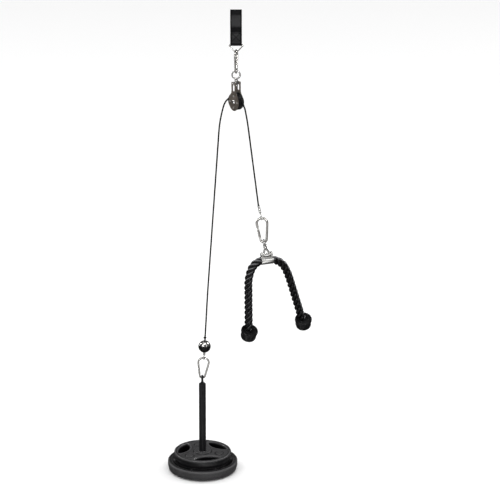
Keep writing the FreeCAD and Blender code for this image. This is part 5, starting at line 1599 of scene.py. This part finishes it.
def build_bracket():
    """Sleeve round the rope, with an ear at each end for the cross bolt."""
    radius, half = SLEEVE["radius"], SLEEVE["half"]
    inner = radius - SLEEVE["wall"]
    profile = eased([(inner, -half), (radius, -half), (radius, half), (inner, half)], 0.6, 5)
    across = place((0, 0, -SLEEVE["drop"]), (0, 0, 1), (1, 0, 0))
    chunks = [in_place(lathe(profile, 128), across)]
    lug, ear = SLEEVE["lug"], SLEEVE["lug_half"]
    neck = math.sqrt(inner ** 2 - ear ** 2) - SLEEVE["drop"] + 0.6
    outline = np.concatenate([arc((0, 0), ear, 0, math.pi), [(-ear, neck)], [(ear, neck)]])
    for side in (-1, 1):
        plate = outline_slab(outline, [circle_loop(0, 0, 4.05)], lug, 0.5, WORLD)
        chunks.append(in_place(plate, place((side * (SLEEVE["lug_reach"] - lug / 2), 0, 0), (0, 1, 0), (0, 0, 1))))
        bead = [(radius + 0.9 * math.cos(a), side * (SLEEVE["lug_reach"] - lug - 0.4) + 0.9 * math.sin(a)) for a in np.linspace(0, 2 * math.pi, 12)[:-1]]
        verts, faces, uvs = lathe(bead, 128)
        lift = np.clip((12.0 - np.abs(verts[:, 1])) / 2.0, 0, 1) * (verts[:, 0] > 0)
        verts[:, :2] *= (1 - 0.09 * (1 - lift))[:, None]
        chunks.append(in_place((verts, faces, uvs), across))
    piece = mesh_piece("rope_sleeve", *in_place(joined(chunks), BRACKET))
    dress(piece, "rope_bracket", "bright_steel", FINISHES["bright_steel"], "sleeve_bracket")
    sideways = place((0, 0, 0), (0, 0, 1), (1, 0, 0))
    reach = SLEEVE["lug_reach"]
    head = hexagonal(13.0, -reach - 4.5, -reach, 0.4)
    shank = threaded(4.0, -reach - 0.5, reach + 6.5, 1.25)
    piece = mesh_piece("sleeve_bolt", *in_place(joined([in_place(head, sideways), in_place(shank, sideways)]), BRACKET))
    dress(piece, "rope_bracket", "bright_steel", FINISHES["bright_steel"], "cross_bolt")
    nut = in_place(hexagonal(13.0, reach, reach + 4.5, 4.05), sideways)
    piece = mesh_piece("sleeve_nut", *in_place(nut, BRACKET))
    dress(piece, "rope_bracket", "bright_steel", FINISHES["bright_steel"], "cross_nut")


# ---------------------------------------------------------------- rope and end stops
ROPE_SWELL = 0.09         # the rope is fuller where the sleeve lets it go
STRAND_OFFSET = 8.6
STRAND_WIDTH = 7.5
YARNS = 11
YARN_GROOVE = 0.22


def rope_data(path, across):
    """Three right-hand laid strands round a planar path, each grooved by its own yarns."""
    along = tangents(path, False)
    out = np.cross(along, across)
    out /= np.linalg.norm(out, axis=1)[:, None]
    s = np.concatenate([[0], np.cumsum(np.linalg.norm(np.diff(path, axis=0), axis=1))])
    swell = 1 + ROPE_SWELL * smoothstep(s, 26.0, 42.0)
    sides = 66
    ring = np.linspace(0, 2 * math.pi, sides, endpoint=False)
    chunks = []
    for strand in range(3):
        turn = 2 * math.pi * (s / ROPE_PITCH + strand / 3)
        outward = np.cos(turn)[:, None] * across + np.sin(turn)[:, None] * out
        middle = path + outward * STRAND_OFFSET * swell[:, None]
        heading = tangents(middle, False)
        sideways = np.cross(heading, outward)
        sideways /= np.linalg.norm(sideways, axis=1)[:, None]
        outward = np.cross(sideways, heading)
        yarn = np.abs(np.cos(YARNS / 2 * ring[None] - math.pi * YARNS * s[:, None] / 95.0))
        radius = (STRAND_WIDTH - YARN_GROOVE * (1 - yarn) ** 1.6) * swell[:, None]
        surface = (np.cos(ring)[None, :, None] * outward[:, None] + np.sin(ring)[None, :, None] * sideways[:, None])
        chunks.append(grid_data(middle[:, None] + surface * radius[:, :, None], caps=True))
    return joined(chunks)


def build_rope():
    across = BRACKET[:3, 1]
    for side, points in (("left", LEFT_LEG), ("right", RIGHT_LEG)):
        path = rounded_path((0.0, -SLEEVE["drop"]), [points[0] + (90.0,)] + list(points[1:-1]), points[-1])
        path = moved(BRACKET, standing(softened(resampled(path, 1.3), 40)))
        nodes = ("rope_" + side, "rope_core") if side == "left" else ("rope_" + side,)
        piece = mesh_piece("rope_laid_" + side, *rope_data(path, across), sharp=180)
        dress(piece, None, "rope_nylon", FINISHES["rope_nylon"], *nodes)
        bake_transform(piece)
        build_stop(side, points)


def build_stop(side, points):
    """Moulded stop: a wide disc over a narrower band with a rounded foot."""
    profile = [(0.02, -20.0), (16.5, -20.0), (20.4, -19.8), (25.3, -18.6), (28.4, -17.0), (30.5, -14.6), (32.0, -11.0),
               (32.7, -7.0), (33.0, -4.0), (33.0, 14.4), (32.4, 15.8), (32.2, 16.8), (34.4, 17.6), (36.0, 19.4), (36.0, 23.6),
               (35.5, 26.0), (34.4, 27.8), (32.6, 29.2), (30.4, 29.9), (28.6, 29.6), (27.4, 28.4), (26.0, 27.6), (21.0, 27.4),
               (20.0, 28.2), (18.6, 28.4), (17.2, 27.4), (16.4, 25.0), (0.02, 25.0)]
    matrix = BRACKET @ place((points[-1][0], 0, points[-1][1]), (1, 0, 0), -np.array(STOP_LEANS[side]))
    piece = mesh_piece("rope_stop_" + side, *in_place(lathe(eased(profile, 0.7, 3), 160), matrix), sharp=40)
    dress(piece, "rope_" + side, "stop_rubber", FINISHES["stop_rubber"], "end_stop_" + side)


# ---------------------------------------------------------------- stage
def build_stage():
    """Pale floor, soft studio light and a camera well back and a little above."""
    floor_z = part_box("pin_base")[0][2]
    size = 60.0
    floor = bpy.data.meshes.new("studio_floor")
    floor.from_pydata([(-size, -size, floor_z), (size, -size, floor_z), (size, size, floor_z), (-size, size, floor_z)], [], [(0, 1, 2, 3)])
    stand = bpy.data.objects.new("studio_floor", floor)
    bpy.context.scene.collection.objects.link(stand)
    paper = Finish("studio_paper", (0.93, 0.93, 0.93), 0.9)
    mirrored = ray_switch(paper, "Is Glossy Ray", (0.93, 0.93, 0.93), studio_level(paper, paper.place()))
    paper.links.new(mirrored, paper.surface.inputs["Base Color"])
    paper.bump(paper.noise(paper.place(), 40.0, 3.0), 0.2 * MM, 0.2)
    floor.materials.append(paper.material)
    for name, place_at, size, power, aim in LIGHTS:
        light = bpy.data.lights.new(name, "AREA")
        light.shape, light.size, light.size_y, light.energy = "RECTANGLE", size[0], size[1], power
        holder = bpy.data.objects.new(name, light)
        holder.location = place_at
        holder.rotation_euler = (Vector(aim) - Vector(place_at)).to_track_quat("-Z", "Y").to_euler()
        holder.visible_glossy = name != "top_softbox"
        bpy.context.scene.collection.objects.link(holder)
    build_world()
    build_camera()


WORLD_LIGHT = (0.50, 0.50, 0.50)
WORLD_SEEN = (1.0, 1.0, 1.0)
LIGHTS = (
    ("top_softbox", (0.0, 2.0, 9.0), (22.0, 22.0), 1080.0, (0, 2.0, -1.0)),
    ("key_softbox", (-4.5, -6.0, 4.5), (1.2, 1.2), 90.0, (0, 0, -1.0)),
    ("fill_softbox", (5.5, -5.0, 3.0), (2.0, 3.0), 30.0, (0, 0, -1.0)),
    ("top_strip", (0.5, -3.2, 6.0), (4.0, 0.5), 60.0, (0, 0, -1.2)),
    ("front_strip", (1.5, -9.5, -0.2), (5.0, 0.5), 190.0, (0, 0, -0.8)),
    ("left_rim", (-7.0, 3.5, 2.5), (0.5, 3.5), 150.0, (0, 0, -1.3)),
    ("right_rim", (7.0, 3.0, 3.5), (0.5, 3.5), 190.0, (0, 0, -1.3)),
)


def studio_level(shader, direction):
    """Brightness that a polished surface sees in a direction: upright softboxes in a dark room, mostly in front."""
    x, y = shader.part(direction, 0), shader.part(direction, 1)
    reach = shader.math("SQRT", shader.math("ADD", shader.math("MULTIPLY", x, x), shader.math("MULTIPLY", y, y)))
    side = shader.math("DIVIDE", x, reach)
    front = shader.ramp(shader.math("DIVIDE", y, reach), -0.1, 0.1, 1.0, 0.0)
    level = 0.07
    for low, high, strength in ((-0.80, -0.45, 1.0), (-0.10, 0.06, 0.6), (0.52, 0.70, 0.9)):
        band = shader.math("MULTIPLY", shader.window(side, low, high, 0.05), strength)
        level = shader.math("ADD", shader.math("MULTIPLY", band, front), level)
    behind = shader.math("MULTIPLY", shader.window(side, -0.30, -0.16, 0.05), shader.math("SUBTRACT", 1.0, front))
    return shader.math("MULTIPLY_ADD", behind, 0.35, level)


def ray_switch(shader, kind, plain, special):
    """Plain colour, except to one kind of ray."""
    rays = shader.node("ShaderNodeLightPath")
    pick = shader.node("ShaderNodeMix", data_type="RGBA")
    shader.links.new(rays.outputs[kind], pick.inputs[0])
    for socket, colour in ((pick.inputs[6], plain), (pick.inputs[7], special)):
        if isinstance(colour, tuple):
            socket.default_value = (*colour, 1)
        else:
            shader.links.new(colour, socket)
    return pick.outputs[2]


def build_world():
    """Even soft light, but a studio of bright and dark bands to anything that reflects it."""
    world = bpy.data.worlds.new("studio")
    world.use_nodes = True
    bpy.context.scene.world = world
    shader = Shader(world.node_tree)
    direction = shader.place("Generated")
    top = shader.ramp(shader.part(direction, 2), 0.80, 0.92, 0.0, 0.45)
    mirrored = shader.math("ADD", studio_level(shader, direction), top)
    background = shader.nodes["Background"]
    colour = ray_switch(shader, "Is Glossy Ray", WORLD_LIGHT, mirrored)
    shader.links.new(ray_switch(shader, "Is Camera Ray", colour, WORLD_SEEN), background.inputs["Color"])


def build_camera():
    data = bpy.data.cameras.new("camera")
    data.lens = 36.0 * CAMERA_DISTANCE / CAMERA_FIELD
    data.clip_end = 200.0
    camera = bpy.data.objects.new("camera", data)
    pitch = math.radians(CAMERA_PITCH)
    back = Vector((0, -math.cos(pitch), math.sin(pitch)))
    camera.location = Vector(CAMERA_TARGET) + back * CAMERA_DISTANCE
    camera.rotation_euler = (-back).to_track_quat("-Z", "Y").to_euler()
    bpy.context.scene.collection.objects.link(camera)
    bpy.context.scene.camera = camera
    bpy.context.scene.view_settings.view_transform = "Standard"


CAMERA_DISTANCE = 16.0
CAMERA_FIELD = 2.1
CAMERA_PITCH = 20.0
CAMERA_TARGET = (0.0575, 0.0, -1.0337)

build_strap()
build_ring()
build_hook("top_hook", SMALL_HOOK, TOP_HOOK)
build_hook("weight_hook", SMALL_HOOK, WEIGHT_HOOK)
build_hook("handle_hook", LARGE_HOOK, HANDLE_HOOK)
build_swivel()
build_cheeks()
build_crosshead()
build_axle()
build_wheel()
build_cables()
build_weight_end()
large_drop = LARGE_HOOK["wire"] + STRAND_RADIUS + HANG_GAP
handle_low = np.linalg.norm(joint_pos("handle_hook_swing") - moved(WHEEL_PLANE, (130.4, 0, -801.0))) + large_drop - 35.0
build_crimp("handle", HANDLE_END, 9.5, "handle_ferrule", handle_low, 32.0, large_drop)
build_pin()
build_plates()
build_bail()
build_bracket()
build_rope()
build_stage()
